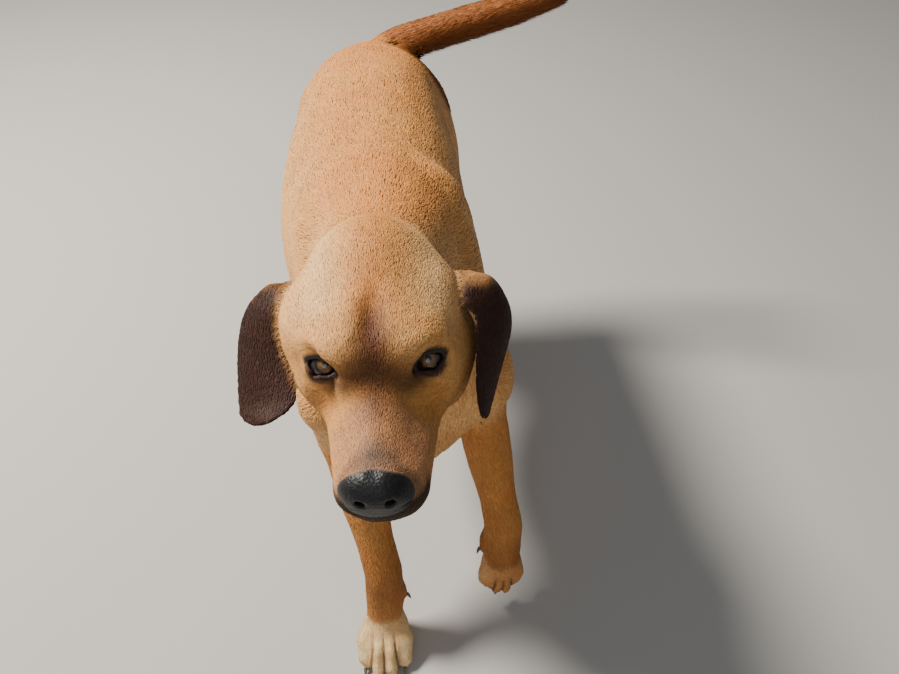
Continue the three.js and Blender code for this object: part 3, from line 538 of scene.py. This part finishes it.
def toe_grooves(points, foot):
    """How deep in a groove between two toes each point is, and how far under the paw, 0 to 1."""
    middle = centre(foot.replace("_", "_paw_"))
    roots = np.array([claw_root(c, middle) for c in CLAWS if c.startswith("claw_" + foot)])
    leg = "forearm_" if foot.startswith("fore") else "hind_pastern_"
    above = centre(leg + foot.split("_")[1]) - middle
    across = unit(roots[-1] - roots[0])
    ahead = roots.mean(0) - middle
    ahead = unit(ahead - across * (ahead @ across))
    up = np.cross(across, ahead)
    up = up * np.sign(up @ above)
    v = points - middle
    reach = (roots - middle) @ ahead
    at, forward = v @ across, v @ ahead / reach.mean()
    toes = (roots - middle) @ across
    groove = np.zeros(len(points))
    for a, b in zip(toes[:-1], toes[1:]):
        line = (a + b) / 2 * GROOVE_SPACING * (0.7 + 0.3 * np.clip(forward, 0, 1))
        aside = np.abs(at - line) / MM
        groove = np.maximum(groove, hump(aside, 1.9))
        groove = np.maximum(groove, 0.5 * hump(aside, 5))
    near = ease(0.07, 0.055, np.linalg.norm(v, axis=1))
    return groove * ease(-0.25, 0.3, forward) * near, near * ease(0, -8, v @ up / MM)


def with_toes(points):
    """The skin with its toes, how deep in a groove each corner is, and how far it is a pad."""
    feet = ("fore_left", "fore_right", "hind_left", "hind_right")
    found = [toe_grooves(points, foot) for foot in feet]
    gap = np.max([groove for groove, _ in found], axis=0)
    under = np.max([low for _, low in found], axis=0)
    normals = vertex_normals(points, triangles)
    under = under * ease(-0.55, -0.8, normals[:, 2]) * SHARE["paw"]
    points = points - normals * (GROOVE_DEPTH * gap * SHARE["paw"])[:, None]
    for claw in CLAWS:
        at = centre(claw)
        nearest = points[np.argmin(np.linalg.norm(points - at, axis=1))]
        pull = hump(np.linalg.norm(points - nearest, axis=1), 4 * MM)
        points = points + pull[:, None] * (at - nearest) * (0.8 if "dew" in claw else 0.35)
    return points, gap, under


points, gap, under = with_toes(points)

# ---- The coat's depth, and the skin inside it ----
DEPTH = {"face": 1.0, "ear": 0.6, "neck": 1.4, "trunk": 1.4, "leg": 1.1, "paw": 0.8, "tail": 2.5}
half = left_half(to_head(points))
eye_r, eye_edge, _, _ = round_eye(half)
nose = SHARE["face"] * ease(1.5, -0.5, blob(half, (0, -86, -26), (24.5, 15.5, 17.5)))
nose = nose * ease(-47, -43, half[:, 2])


def coat_depth():
    """How thick the coat is at each corner, in millimetres: none on the lids and the nose."""
    depth = sum(SHARE[name] * d for name, d in DEPTH.items())
    depth = depth - SHARE["face"] * ease(-5, -45, half[:, 1]) * 0.4
    depth = depth * (1 - hump(np.maximum(eye_r - BALL - 4, 0), 4.0))
    return depth * (1 - nose)


depth = coat_depth()
normals = vertex_normals(points, triangles)
points = points - normals * (depth * MM)[:, None]


# ---- Making objects ----
def new_object(name, points, faces):
    """A smooth object from corners and faces that all have as many sides."""
    mesh = bpy.data.meshes.new(name)
    mesh.vertices.add(len(points))
    mesh.vertices.foreach_set("co", np.ascontiguousarray(points, dtype=np.float32).ravel())
    sides = faces.shape[1]
    mesh.loops.add(faces.size)
    mesh.loops.foreach_set("vertex_index", np.ascontiguousarray(faces, dtype=np.int32).ravel())
    mesh.polygons.add(len(faces))
    mesh.polygons.foreach_set("loop_start", np.arange(0, faces.size, sides, dtype=np.int32))
    mesh.update(calc_edges=True)
    mesh.polygons.foreach_set("use_smooth", np.ones(len(faces), bool))
    obj = bpy.data.objects.new(name, mesh)
    bpy.context.collection.objects.link(obj)
    return obj


def put_values(obj, name, values):
    """One value or one colour for each corner of a mesh."""
    if values.ndim == 1:
        layer = obj.data.attributes.new(name, "FLOAT", "POINT")
        layer.data.foreach_set("value", values.astype(np.float32))
    else:
        layer = obj.data.color_attributes.new(name, "FLOAT_COLOR", "POINT")
        full = np.concatenate([values, np.ones((len(values), 1))], axis=1).astype(np.float32)
        layer.data.foreach_set("color", full.ravel())


skin = new_object("skin", points, triangles)

# ---- Colours ----
def rgb(*srgb):
    """A colour given as on a screen, 0 to 255, as light."""
    shown = np.array(srgb) / 255
    return np.where(shown < 0.04045, shown / 12.92, ((shown + 0.055) / 1.055) ** 2.4)


WHITISH = rgb(246, 208, 152)
CREAM = rgb(230, 190, 136)
PALE = rgb(216, 162, 102)
TAN = rgb(200, 141, 76)
ORANGE = rgb(192, 120, 54)
RED_BROWN = rgb(98, 46, 20)
BROWN = rgb(86, 49, 27)
EAR_BROWN = rgb(56, 31, 22)
BLACK = rgb(30, 27, 27)
NOSE_BLACK = rgb(19, 19, 22)
PINK_TAN = rgb(182, 130, 94)
SMUDGE = rgb(88, 72, 62)
DARK_BROWN = rgb(52, 34, 26)
PAD = rgb(64, 50, 46)
MOLE_AT = (-9.5, 14, 41.5)
# Where the smudges behind the nose leather are, how broad, and how dark.
SMUDGES = (((-0.5, -70, -9), 10, 0.97), ((-14, -71, -12), 7, 0.6), ((12, -71, -11), 7, 0.75))


def blended(base, colour, share):
    """Colours moved towards another one, by a share of 0 to 1 for each."""
    return base + (colour - base) * np.clip(share, 0, 1)[:, None]


def mottle(p, size, seed):
    """Soft irregular patches between -1 and 1, about the given size in metres."""
    r = np.random.default_rng(seed)
    total = np.zeros(len(p))
    for _ in range(7):
        wave = unit(r.normal(size=3)) * (2 * math.pi / size) * r.uniform(0.6, 1.6)
        total += np.sin(p @ wave + r.uniform(0, 6.3))
    return total / 3.7


def near_spot(q, at, size):
    """1 at a spot of the head, falling off round it."""
    return hump(np.linalg.norm(q - np.array(at), axis=1), size)


def body_colours(p, up):
    """The trunk's colours, lighter below and redder on top, from where it faces."""
    body = blended(np.tile(PALE, (len(p), 1)), ORANGE, 0.8 * ease(0.45, 1.0, up))
    body = blended(body, CREAM, 0.55 * ease(-0.1, -0.8, up))
    body = blended(body, TAN, 0.35 + 0.3 * mottle(p, 0.11, 1))
    rear = ease(0.15, 0.33, p[:, 1])
    return blended(body, ORANGE, 0.5 * rear * ease(-0.2, 0.6, up))


def neck_colours(body, up):
    """The neck as the trunk, but tan at the throat and redder on top."""
    throat = blended(body, TAN, 0.6 * ease(0.2, -0.5, up))
    return blended(throat, ORANGE, 0.35 * ease(0.2, 0.9, up))


def leg_colours(p):
    """Legs between tan and orange, red-brown round the front wrists: partly their own colour, partly
    painted shade.
    """
    leg = blended(np.tile(TAN, (len(p), 1)), ORANGE, 0.55 + 0.2 * mottle(p, 0.05, 2))
    return blended(leg, RED_BROWN, 0.45 * hump(p[:, 2] - 0.115, 0.05) * (p[:, 1] < 0))


def paw_colours(p):
    """Whitish paws, of which the lifted forepaw is the reddest, with painted shade in the grooves
    between the toes.
    """
    paw = blended(np.tile(WHITISH, (len(p), 1)), TAN, 0.15 + 0.3 * mottle(p, 0.03, 3))
    lifted = ease(-0.02, 0.02, p[:, 0]) * (p[:, 1] < 0)
    paw = blended(paw, ORANGE, 0.8 * lifted)
    # Painted shade: brown in the grooves between the toes, by how deep each point lies in them.
    return blended(paw, BROWN, 0.8 * gap**2)


def ear_colours(p, q):
    """Dark ears, with tan along the fold at the top: partly the head's colour, partly painted light on
    the backlit hair there.
    """
    fold = 0.72 * q[:, 1] + 0.69 * q[:, 2]
    soft = fold + 4 * mottle(p, 0.02, 12)
    tan_and_lit_rim = np.where(q[:, 0] > 0, ease(54, 76, soft), ease(52, 84, soft))
    return blended(np.tile(EAR_BROWN, (len(p), 1)), TAN, 0.8 * tan_and_lit_rim)


def face_colours(p, q):
    """The head's colours, the same on both halves but for the mole and the smudges."""
    h = left_half(q)
    x, y, z = h.T
    crown = ease(28, 12, x + 5 * mottle(p, 0.03, 11)) * ease(-5, 20, y) * ease(18, 32, z)
    round_nose = ease(6, 1, blob(h, (0, -86, -28), (26, 16, 19)))
    r, edge, out, up = round_eye(h)
    round_ball = ease(BALL + 9, BALL + 5, r)
    lower = ease(4, -5, up) * ease(10, -6, out)
    layers = (
        # Crown, temples and brows.
        (ORANGE, 0.45 * crown),
        (PALE, 0.8 * hump(x - 40, 22) * ease(-6, 18, y) * ease(0, 22, z)),
        (CREAM, 0.6 * hump(x - 46, 16) * ease(8, 30, y) * ease(0, 20, z)),
        (PALE, 0.7 * hump(blob(h, (28, -12, 26), (12, 5, 5)), 8)),
        # Cheeks and muzzle.
        (ORANGE, 0.35 * ease(-26, -6, y) * ease(-10, -24, z)),
        (PALE, 0.5 * ease(38, 52, x) * ease(-62, -30, z)),
        (PINK_TAN, 0.75 * ease(-22, -40, y) * ease(-45, -25, z)),
        (BROWN, 0.3 * hump(x, 12) * ease(-34, -50, y)),
        # The streak down the forehead, partly its own red-brown and partly painted shade in the
        # furrow.
        (RED_BROWN, 0.95 * hump(limb(h, (0, -16, 22), (0, 18, 42), 0), 8)),
        (ORANGE, 0.5 * hump(limb(h, (0, 15, 42), (0, 34, 43), 0), 9.0)),
        # Brown between the eyes and at their inner corners: partly their own colour, partly painted
        # shade under the brows.
        (BROWN, 0.6 * hump(limb(h, (0, -36, -4), (0, 4, 38), 0), 12)),
        (BROWN, 0.6 * hump(limb(h, (0, -27, 2), (0, -10, 27), 0), 17)),
        (BROWN, 0.65 * hump(limb(h, (4, -22, 9), (23, -12, 3), 0), 9)),
        (DARK_BROWN, 0.8 * hump(limb(h, (17, -17, -3), (27, -9, -4), 0), 7.5)),
        *((SMUDGE, much * near_spot(q, at, size)) for at, size, much in SMUDGES),
        (DARK_BROWN, 0.9 * near_spot(q, MOLE_AT, 2.2)),
        # Round the nose, the lip below it, and the chin.
        (SMUDGE, 0.45 * round_nose),
        (DARK_BROWN, 0.95 * ease(-62, -74, y) * ease(-30, -37, z) * ease(-61, -56, z)),
        (CREAM, 0.6 * ease(-59, -64, z) * ease(-20, -50, y)),
        # Dark rims of the lids and the lips.
        (BROWN, 0.85 * ease(3.0 + 5.5 * lower, 1.0, edge) * round_ball),
        (BLACK, 0.97 * ease(1.7 + 2.6 * lower, 0.8, edge) * round_ball),
        (BLACK, 0.9 * ease(3.0, 1.4, from_lips(h)) * ease(6, -4, y)),
    )
    face = np.tile(TAN, (len(p), 1))
    for layer, share in layers:
        face = blended(face, layer, share)
    return face


def from_lips(h):
    """How far points of the head's left half are above or below the dark rim of the lip."""
    return np.abs(h[:, 2] - lip_line(h[:, 1]) + 0.6)


def coat_colours(p, n):
    """Colour of the coat at points of the skin, from where they are on the body."""
    q = to_head(p)
    up = n[:, 2]
    body = body_colours(p, up)
    parts = dict(
        face=face_colours(p, q),
        ear=ear_colours(p, q),
        neck=neck_colours(body, up),
        trunk=body,
        leg=leg_colours(p),
        paw=paw_colours(p),
        # The tail red-brown, darker where it faces down: painted shade on its underside.
        tail=blended(np.tile(ORANGE, (len(p), 1)), RED_BROWN, 0.62 + 0.12 * ease(0.4, -0.6, up)),
    )
    colour = sum(SHARE[name][:, None] * c for name, c in parts.items())
    return colour * (1 + 0.05 * mottle(p, 0.04, 4) + 0.04 * mottle(p, 0.012, 5))[:, None]


colour = coat_colours(points, normals)
rim = SHARE["face"] * ease(1.1, 0.5, eye_edge) * ease(BALL + 6, BALL + 4, eye_r)
lips = SHARE["face"] * ease(2.6, 1.2, from_lips(half)) * ease(6, -4, half[:, 1])
bare = np.clip(nose + rim + lips + under, 0, 1)
# Painted light: the skin under the coat is lighter than the coat, to lessen the shade in the gaps
# between the tufts.
skin_colour = blended(np.clip(colour * 1.25, 0, 1), PAD, under)
skin_colour = blended(skin_colour, NOSE_BLACK, nose)
put_values(skin, "tint", skin_colour)
put_values(skin, "bare", bare)
put_values(skin, "nose", nose)


# ---- Materials ----
class Nodes:
    """Short ways to add and link the nodes of one material."""

    def __init__(self, name):
        self.material = bpy.data.materials.new(name)
        self.material.use_nodes = True
        self.tree = self.material.node_tree
        self.shader = self.tree.nodes["Principled BSDF"]

    def add(self, kind, settings=None, **inputs):
        node = self.tree.nodes.new(kind)
        for key, value in (settings or {}).items():
            setattr(node, key, value)
        for key, value in inputs.items():
            self.join(value, node.inputs[key.replace("_", " ")])
        return node

    def join(self, value, socket):
        if isinstance(value, bpy.types.NodeSocket):
            self.tree.links.new(value, socket)
        else:
            socket.default_value = value

    def give(self, name, value):
        """Sets or links one input of the shader."""
        self.join(value, self.shader.inputs[name])

    def attribute(self, name):
        return self.add("ShaderNodeAttribute", {"attribute_name": name})

    def math(self, operation, *values):
        node = self.tree.nodes.new("ShaderNodeMath")
        node.operation = operation
        for value, socket in zip(values, node.inputs):
            self.join(value, socket)
        return node.outputs[0]

    def scaled(self, value, by, plus):
        return self.math("ADD", self.math("MULTIPLY", value, by), plus)

    def place(self):
        return self.add("ShaderNodeTexCoord").outputs["Object"]

    def noise(self, scale, detail=3.0, stretch=None):
        at = self.place()
        if stretch:
            at = self.add("ShaderNodeMapping", Vector=at, Scale=stretch).outputs[0]
        return self.add("ShaderNodeTexNoise", Vector=at, Scale=scale, Detail=detail).outputs["Fac"]

    def multiply(self, colour, factor):
        scale = {"operation": "SCALE"}
        return self.add("ShaderNodeVectorMath", scale, Vector=colour, Scale=factor).outputs[0]

    def bump(self, height, distance, strength=1.0, under=None):
        node = self.add("ShaderNodeBump", Height=height, Distance=distance, Strength=strength)
        if under is not None:
            self.join(under, node.inputs["Normal"])
        return node.outputs[0]


def skin_material():
    """Short hair's grain where the skin is covered, pebbled leather on the nose."""
    m = Nodes("skin")
    bare, nose = m.attribute("bare").outputs["Fac"], m.attribute("nose").outputs["Fac"]
    grain = m.noise(900, 4)
    shade = m.scaled(grain, 0.5, 0.75)
    m.give("Base Color", m.multiply(m.attribute("tint").outputs["Color"], shade))
    m.give("Roughness", m.math("SUBTRACT", 0.72, m.math("MULTIPLY", bare, 0.24)))
    m.give("Specular IOR Level", 0.35)
    cells = m.add(
        "ShaderNodeTexVoronoi", {"feature": "SMOOTH_F1"}, Vector=m.place(), Scale=620, Smoothness=0.4
    ).outputs["Distance"]
    pebbles = m.math("MULTIPLY", m.math("SUBTRACT", 1, cells), nose)
    hair = m.math("MULTIPLY", grain, m.math("SUBTRACT", 1, bare))
    fine = m.bump(hair, 0.0012)
    m.give("Normal", m.bump(pebbles, 0.0005, 0.7, fine))
    return m.material


skin.data.materials.append(skin_material())

# ---- Eyes ----
GAZE_AT = from_head([55, -316, 320])  # where both eyes look, in front of the dog and above it
PUPIL, IRIS, CORNEA = 10, 35, 38  # edges of these, in degrees from the gaze


def eye_shape(side):
    """A ball with a slightly raised cornea: its corners and triangles, and for each corner how
    many degrees it is from the gaze and its turn about it."""
    gaze = unit(GAZE_AT - EYES[side]) @ HEAD_AXES
    out = unit(np.cross([0, 0, 1], gaze))
    up = np.cross(gaze, out)
    rings, around = 60, 72
    angle = np.linspace(0, math.pi, rings + 1)[1:-1]
    turn = np.arange(around) * 2 * math.pi / around
    a, t = (v.ravel() for v in np.meshgrid(angle, turn, indexing="ij"))
    a, t = np.append(a, [0, math.pi]), np.append(t, [0, 0])
    degrees = np.degrees(a)
    radius = BALL - 0.35 + 0.9 * np.cos(np.clip(degrees / CORNEA, 0, 1) * math.pi / 2) ** 2
    ray = (
        np.cos(a)[:, None] * gaze
        + (np.sin(a) * np.cos(t))[:, None] * out
        + (np.sin(a) * np.sin(t))[:, None] * up
    )
    points = EYES[side] + (radius[:, None] * ray) @ HEAD_AXES.T * MM
    i, j = (v.ravel() for v in np.meshgrid(np.arange(rings - 2), np.arange(around), indexing="ij"))
    k = (j + 1) % around
    quads = np.stack([i * around + j, (i + 1) * around + j, (i + 1) * around + k, i * around + k], 1)
    last = (rings - 1) * around
    j = np.arange(around)
    k = (j + 1) % around
    front = np.stack([np.full(around, last), j, k], 1)
    back = np.stack([last - around + j, np.full(around, last + 1), last - around + k], 1)
    triangles = np.concatenate([quads[:, [0, 1, 2]], quads[:, [0, 2, 3]], front, back])
    return points, triangles, degrees, t


def eye_colours(degrees, turn):
    """A dark pupil, a streaked amber iris with a dark ring, and the brown edge of the white."""
    streaks = np.sin(turn * 23 + 2 * np.sin(turn * 7)) * 0.5 + np.sin(turn * 41 + 1) * 0.3
    colour = np.tile(rgb(124, 88, 54), (len(degrees), 1))
    colour = blended(colour, rgb(70, 46, 28), ease(PUPIL, IRIS, degrees) + 0.25 * streaks)
    colour = blended(colour, rgb(16, 12, 10), ease(IRIS - 7, IRIS - 1, degrees))
    colour = blended(colour, rgb(46, 36, 31), ease(IRIS + 2, IRIS + 7, degrees))
    colour = blended(colour, rgb(40, 30, 26), ease(IRIS + 9, IRIS + 22, degrees))
    return blended(colour, rgb(6, 5, 5), ease(PUPIL + 1.5, PUPIL - 0.5, degrees))


def make_eye(side):
    points, triangles, degrees, turn = eye_shape(side)
    eye = new_object("eyeball_" + side, points, triangles)
    put_values(eye, "tint", eye_colours(degrees, turn))
    m = Nodes("eye_" + side)
    m.give("Base Color", m.attribute("tint").outputs["Color"])
    m.give("Roughness", m.scaled(m.noise(700, 2), 0.06, 0.16))
    m.give("Coat Weight", 1.0)
    m.give("Coat Roughness", 0.03)
    eye.data.materials.append(m.material)
    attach(eye, "root")
    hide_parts("eye_" + side)


make_eye("left")
make_eye("right")


# ---- Claws ----
def claw_material():
    m = Nodes("claw")
    grain = m.noise(420, 4, (1, 1, 0.25))
    ramp = m.add("ShaderNodeValToRGB", Fac=grain)
    ramp.color_ramp.elements[0].color = (*rgb(58, 46, 40), 1)
    ramp.color_ramp.elements[1].color = (*rgb(128, 106, 88), 1)
    m.give("Base Color", ramp.outputs["Color"])
    m.give("Roughness", m.scaled(grain, 0.2, 0.3))
    m.give("Normal", m.bump(grain, 0.0003))
    return m.material


horn = claw_material()
for name in CLAWS:
    for slot in NODES[name].material_slots:
        slot.material = horn

# ---- The lie of the coat: which way the hair points at each corner of the skin ----
def long_axis(node):
    """A node's long axis, turned as its hair lies: outwards on the tail, downwards elsewhere."""
    p, _ = mesh_arrays(NODES[node].data)
    _, vectors = np.linalg.eigh(np.cov((p - p.mean(0)).T))
    axis = vectors[:, 2]
    if node == "tail":
        return axis * np.sign(axis[0])
    return axis * -np.sign(axis[2])


def hair_directions(p, n):
    """A direction along the skin for each corner: from the nose backwards over head, neck and
    trunk, down the breast and the legs, and out along the tail and the ears."""
    q = to_head(p)
    lie = np.zeros_like(p)
    ahead = ease(0.1, 0.8, -n[:, 1])[:, None]
    for i, name in enumerate(FLESH):
        here = on_node == i
        if name in ("head", "jaw"):
            away = unit(left_half(q[here]) - np.array([0, -96, -34])) + [0.05, 0.75, -0.2]
            away[:, 0] *= np.sign(q[here, 0])
            lie[here] = away @ HEAD_AXES.T
        elif name == "neck":
            lie[here] = np.array([0.1, 1, -0.5]) + ahead[here] * [-0.1, -0.8, -1]
        elif name == "trunk":
            lie[here] = np.array([0, 1, -0.18]) + ahead[here] * [0, -0.8, -1]
        elif name.startswith(("upper_arm", "thigh")):
            lie[here] = unit([0, 0.7, -0.7])
        elif "paw" in name:
            claws = [centre(c) for c in CLAWS if name.replace("_paw", "") in c and "dew" not in c]
            toes = np.mean(claws, axis=0)
            lie[here] = unit(toes - centre(name)) + [0, 0, -0.3]
        else:
            lie[here] = long_axis(name)
    lie = unit(spread(unit(lie), triangles, 40))
    lie = lie - n * (lie * n).sum(1, keepdims=True)
    return unit(spread(lie, triangles, 6))


lie = hair_directions(points, normals)

# ---- The unwrap that the coat's patches sit on ----
def unwrap(obj):
    """Unwraps an object by its own shape, and gives each triangle's three places on the map."""
    bpy.ops.object.select_all(action="DESELECT")
    obj.select_set(True)
    bpy.context.view_layer.objects.active = obj
    obj.data.uv_layers.new(name="OFBake")
    bpy.ops.object.mode_set(mode="EDIT")
    bpy.ops.mesh.select_all(action="SELECT")
    bpy.ops.uv.smart_project(angle_limit=math.radians(72), island_margin=0.001)
    bpy.ops.object.mode_set(mode="OBJECT")
    uv = np.empty(len(obj.data.loops) * 2, dtype=np.float32)
    obj.data.uv_layers["OFBake"].data.foreach_get("uv", uv)
    return uv.reshape(-1, 3, 2)


skin_uv = unwrap(skin)

# ---- Tufts ----
# Length and width in millimetres, and how many there are on a square millimetre.
TUFT = {
    "face": (5.8, 0.62, 1.1),
    "ear": (5.0, 0.7, 0.62),
    "neck": (12.0, 1.0, 0.36),
    "trunk": (15.0, 1.25, 0.25),
    "leg": (8.5, 0.95, 0.40),
    "paw": (4.5, 0.75, 0.65),
    "tail": (24.0, 1.1, 0.5),
}
BEND = 0.36  # where a tuft bends, as a share of its length
STEADY = 0.35  # least cosine of the skin's turn along a tuft
THINNEST = 0.22  # least thickness of the coat, in millimetres
ROOTED = 0.3  # how deep a root is in the skin, as a share of the thickness
CLEAR = 0.12 * MM  # how far the bend is kept above the line from the root to the tip
LENGTHS, WIDTHS, LIFTS = (0.7, 1.25), (0.75, 1.3), (0.75, 1.0)  # how much the tufts vary
BLADES_IN_PIECE = 48000
PATCH = 0.0015  # half the size of a tuft's patch on the unwrap
# A blade has its root in the skin, its two sides where it bends, and its tip.
BLADE_FACES = np.array([[0, 2, 1], [3, 1, 2], [0, 1, 3], [0, 3, 2]])
PATCH_CORNERS = np.array([[0, -1], [-1, 0], [1, 0], [0, 1]]) * PATCH
# Painted shade and light along each blade: darker at the root, lighter at the tip.
BLADE_PAINTED_SHADING = np.array([0.8, 0.98, 0.98, 1.07])


def tuft_sizes():
    """Length, width and number of the tufts at each corner of the skin, finest round the eyes."""
    sizes = sum(SHARE[name][:, None] * np.array(size) for name, size in TUFT.items())
    small = SHARE["face"] * ease(10, -30, half[:, 1])
    sizes[:, 0] *= 1 - 0.4 * small
    sizes[:, 1] *= 1 - 0.15 * small
    sizes[:, 2] *= (1 + 0.35 * small) * (1 - np.clip(bare * 1.3, 0, 1))
    lids = SHARE["face"] * ease(9, 3, eye_edge) * ease(BALL + 8, BALL + 5, eye_r)
    sizes[:, 0] *= 1 - 0.6 * lids
    sizes[:, 1] *= 1 - 0.35 * lids
    sizes[:, 2] *= 1 + 1.6 * lids
    return sizes


def scattered(number):
    """Places on the skin, one part of the body after another: a triangle for each tuft, and
    where on the triangle it stands."""
    a, b, c = (points[triangles[:, i]] for i in range(3))
    area = np.linalg.norm(np.cross(b - a, c - a), axis=1) / 2 / MM**2
    steps = np.cumsum(area * number[triangles].mean(1))
    many = int(steps[-1])
    face = np.searchsorted(steps, (np.arange(many) + rng.random(many)) * (steps[-1] / many))
    face = np.minimum(face, len(triangles) - 1)
    u, v = np.sqrt(rng.random(many)), rng.random(many)
    weights = np.stack([1 - u, u * (1 - v), u * v], 1)
    order = np.argsort(on_node[triangles[face, 0]], kind="stable")
    return face[order], weights[order]


def at_roots(values, face, weights):
    """The value that the skin's corners give to each tuft's root."""
    corner = values[triangles[face]]
    if corner.ndim == 2:
        return (corner * weights).sum(1)
    return (corner * weights[..., None]).sum(1)


def nearest_on_skin(tree, wanted):
    """The skin's place nearest to each wanted one, and its normal there."""
    found = np.empty_like(wanted)
    face = np.empty(len(wanted), dtype=np.int64)
    for i, w in enumerate(wanted):
        place, _, index, _ = tree.find_nearest(w)
        found[i] = place
        face[i] = index
    return found, unit(normals[triangles[face]].mean(1))


def grown(face, weights, sizes):
    """The blades' corners and normals, and which of the blades lie steadily on the skin."""
    many = len(face)
    tree = BVHTree.FromPolygons(points.tolist(), triangles.tolist())
    root = at_roots(points, face, weights)
    root_normal = unit(at_roots(normals, face, weights))
    direction = at_roots(lie, face, weights)
    sway = rng.normal(0, 0.16, many)[:, None] + 0.12 * mottle(root, 0.03, 8)[:, None]
    direction = direction + sway * np.cross(root_normal, direction)
    direction = unit(direction - root_normal * (direction * root_normal).sum(1, keepdims=True))
    length, width, _ = at_roots(sizes, face, weights).T
    length = length * rng.uniform(*LENGTHS, many) * MM
    width = width * rng.uniform(*WIDTHS, many) * MM
    thick = np.maximum(at_roots(depth, face, weights), THINNEST) * MM
    # The middle and the tip follow the skin, so a tuft bends with the body.
    middle, middle_normal = nearest_on_skin(tree, root + direction * (BEND * length)[:, None])
    ahead = unit(middle - root)
    ahead = unit(ahead - middle_normal * (ahead * middle_normal).sum(1, keepdims=True))
    tip, tip_normal = nearest_on_skin(tree, middle + ahead * ((1 - BEND) * length)[:, None])
    steady = (root_normal * middle_normal).sum(1) > STEADY
    steady &= (middle_normal * tip_normal).sum(1) > STEADY
    steady &= np.linalg.norm(tip - root, axis=1) > 0.6 * length
    side = unit(np.cross(middle_normal, ahead)) * (width / 2)[:, None]
    lift = rng.uniform(*LIFTS, many)[:, None] * thick[:, None]
    # Below the tail the tips stand out in a brush.
    below = 0.25 + 0.75 * ease(0.3, -0.6, root_normal[:, 2])
    brush = at_roots(SHARE["tail"], face, weights) * below
    low = root - root_normal * (ROOTED * thick)[:, None]
    middle = middle + middle_normal * lift
    end = tip + tip_normal * lift * (0.6 + 3.4 * brush * rng.random(many))[:, None]
    # In a hollow the middle is raised, so that no blade turns inside out.
    sag = (((1 - BEND) * low + BEND * end - middle) * middle_normal).sum(1)
    middle = middle + middle_normal * np.maximum(sag + CLEAR, 0)[:, None]
    blade_normals = [
        unit(root_normal - 0.3 * direction),
        unit(middle_normal + 0.5 * unit(side)),
        unit(middle_normal - 0.5 * unit(side)),
        unit(tip_normal + 0.25 * ahead),
    ]
    corners = [low, middle + side, middle - side, end]
    return np.stack(corners, axis=1), np.stack(blade_normals, axis=1), steady


def blade_colours(face, weights):
    """The skin's colour at each tuft's root, a little different from tuft to tuft, with painted shade
    at the root and painted light at the tip."""
    many = len(face)
    at_root = at_roots(colour, face, weights)
    at_root = at_root * np.exp(rng.normal(0.03, 0.12, many))[:, None]
    at_root = at_root * (1 + rng.normal(0, 0.03, (many, 3)))
    return np.clip(at_root[:, None] * BLADE_PAINTED_SHADING[None, :, None], 0, 1)


def coat_material():
    m = Nodes("coat")
    vary = m.scaled(m.noise(260, 3), 0.3, 0.85)
    m.give("Base Color", m.multiply(m.attribute("tint").outputs["Color"], vary))
    m.give("Roughness", m.scaled(m.noise(900, 2), 0.15, 0.55))
    m.give("Specular IOR Level", 0.25)
    return m.material


def make_coat():
    sizes = tuft_sizes()
    face, weights = scattered(sizes[:, 2])
    blades, blade_normals, steady = grown(face, weights, sizes)
    colours = blade_colours(face, weights)
    places = (skin_uv[face] * weights[..., None]).sum(1)
    kept = blades[steady], blade_normals[steady], colours[steady], places[steady]
    many = int(steady.sum())
    fur = coat_material()
    pieces = math.ceil(many / BLADES_IN_PIECE)
    for k in range(pieces):
        part = slice(k * many // pieces, (k + 1) * many // pieces)
        corners, corner_normals, tint, place = (values[part] for values in kept)
        faces = (BLADE_FACES[None] + 4 * np.arange(len(corners))[:, None, None]).reshape(-1, 3)
        coat = new_object("coat_%02d" % k, corners.reshape(-1, 3), faces)
        put_values(coat, "tint", tint.reshape(-1, 3))
        coat.data.normals_split_custom_set_from_vertices(corner_normals.reshape(-1, 3))
        layer = coat.data.uv_layers.new(name="OFBake")
        patches = (place[:, None] + PATCH_CORNERS[None])[:, BLADE_FACES.ravel()]
        layer.data.foreach_set("uv", patches.astype(np.float32).ravel())
        coat.data.materials.append(fur)
        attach(coat, "root")


make_coat()

# ---- Camera, light, floor ----
CAMERA_FROM_EYES = np.array([4.7, -311.1, 342.3]) * MM
CAMERA_DOWN = 46  # degrees below level
CAMERA_TURN = -math.atan(0.146)  # it looks a little to the dog's left


def make_camera():
    data = bpy.data.cameras.new("camera")
    data.sensor_width = 36
    data.lens = 27.03
    data.clip_start = 0.01
    camera = bpy.data.objects.new("camera", data)
    camera.location = Vector(EYE_MIDDLE + CAMERA_FROM_EYES)
    camera.rotation_euler = (math.radians(90 - CAMERA_DOWN), 0, CAMERA_TURN)
    bpy.context.collection.objects.link(camera)
    bpy.context.scene.camera = camera
    bpy.context.scene.render.resolution_x = 899
    bpy.context.scene.render.resolution_y = 674


make_camera()


def area_light(name, at, target, size, power, colour=(1, 1, 1)):
    data = bpy.data.lights.new(name, "AREA")
    data.shape = "DISK"
    data.size = size
    data.energy = power
    data.color = colour
    light = bpy.data.objects.new(name, data)
    light.location = at
    light.rotation_euler = (Vector(target) - Vector(at)).to_track_quat("-Z", "Y").to_euler()
    bpy.context.collection.objects.link(light)


area_light("key", (-1.6, 0.8, 2.5), (0, -0.1, 0.35), size=0.7, power=200, colour=(1, 0.94, 0.85))
area_light("front", (-0.4, -2.4, 1.6), (0, -0.2, 0.4), size=2.0, power=11)


def make_world():
    world = bpy.data.worlds.new("world")
    bpy.context.scene.world = world
    world.use_nodes = True
    sky = world.node_tree.nodes["Background"]
    sky.inputs["Color"].default_value = (0.9, 0.95, 1, 1)
    sky.inputs["Strength"].default_value = 0.24


def make_floor():
    bpy.ops.mesh.primitive_plane_add(size=8, location=(0, 0, 0))
    floor = bpy.context.object
    floor.name = "floor"
    m = Nodes("floor")
    m.give("Base Color", (0.44, 0.43, 0.41, 1))
    m.give("Roughness", 0.8)
    floor.data.materials.append(m.material)


make_world()
make_floor()

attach(skin, "root")
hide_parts(*FLESH)
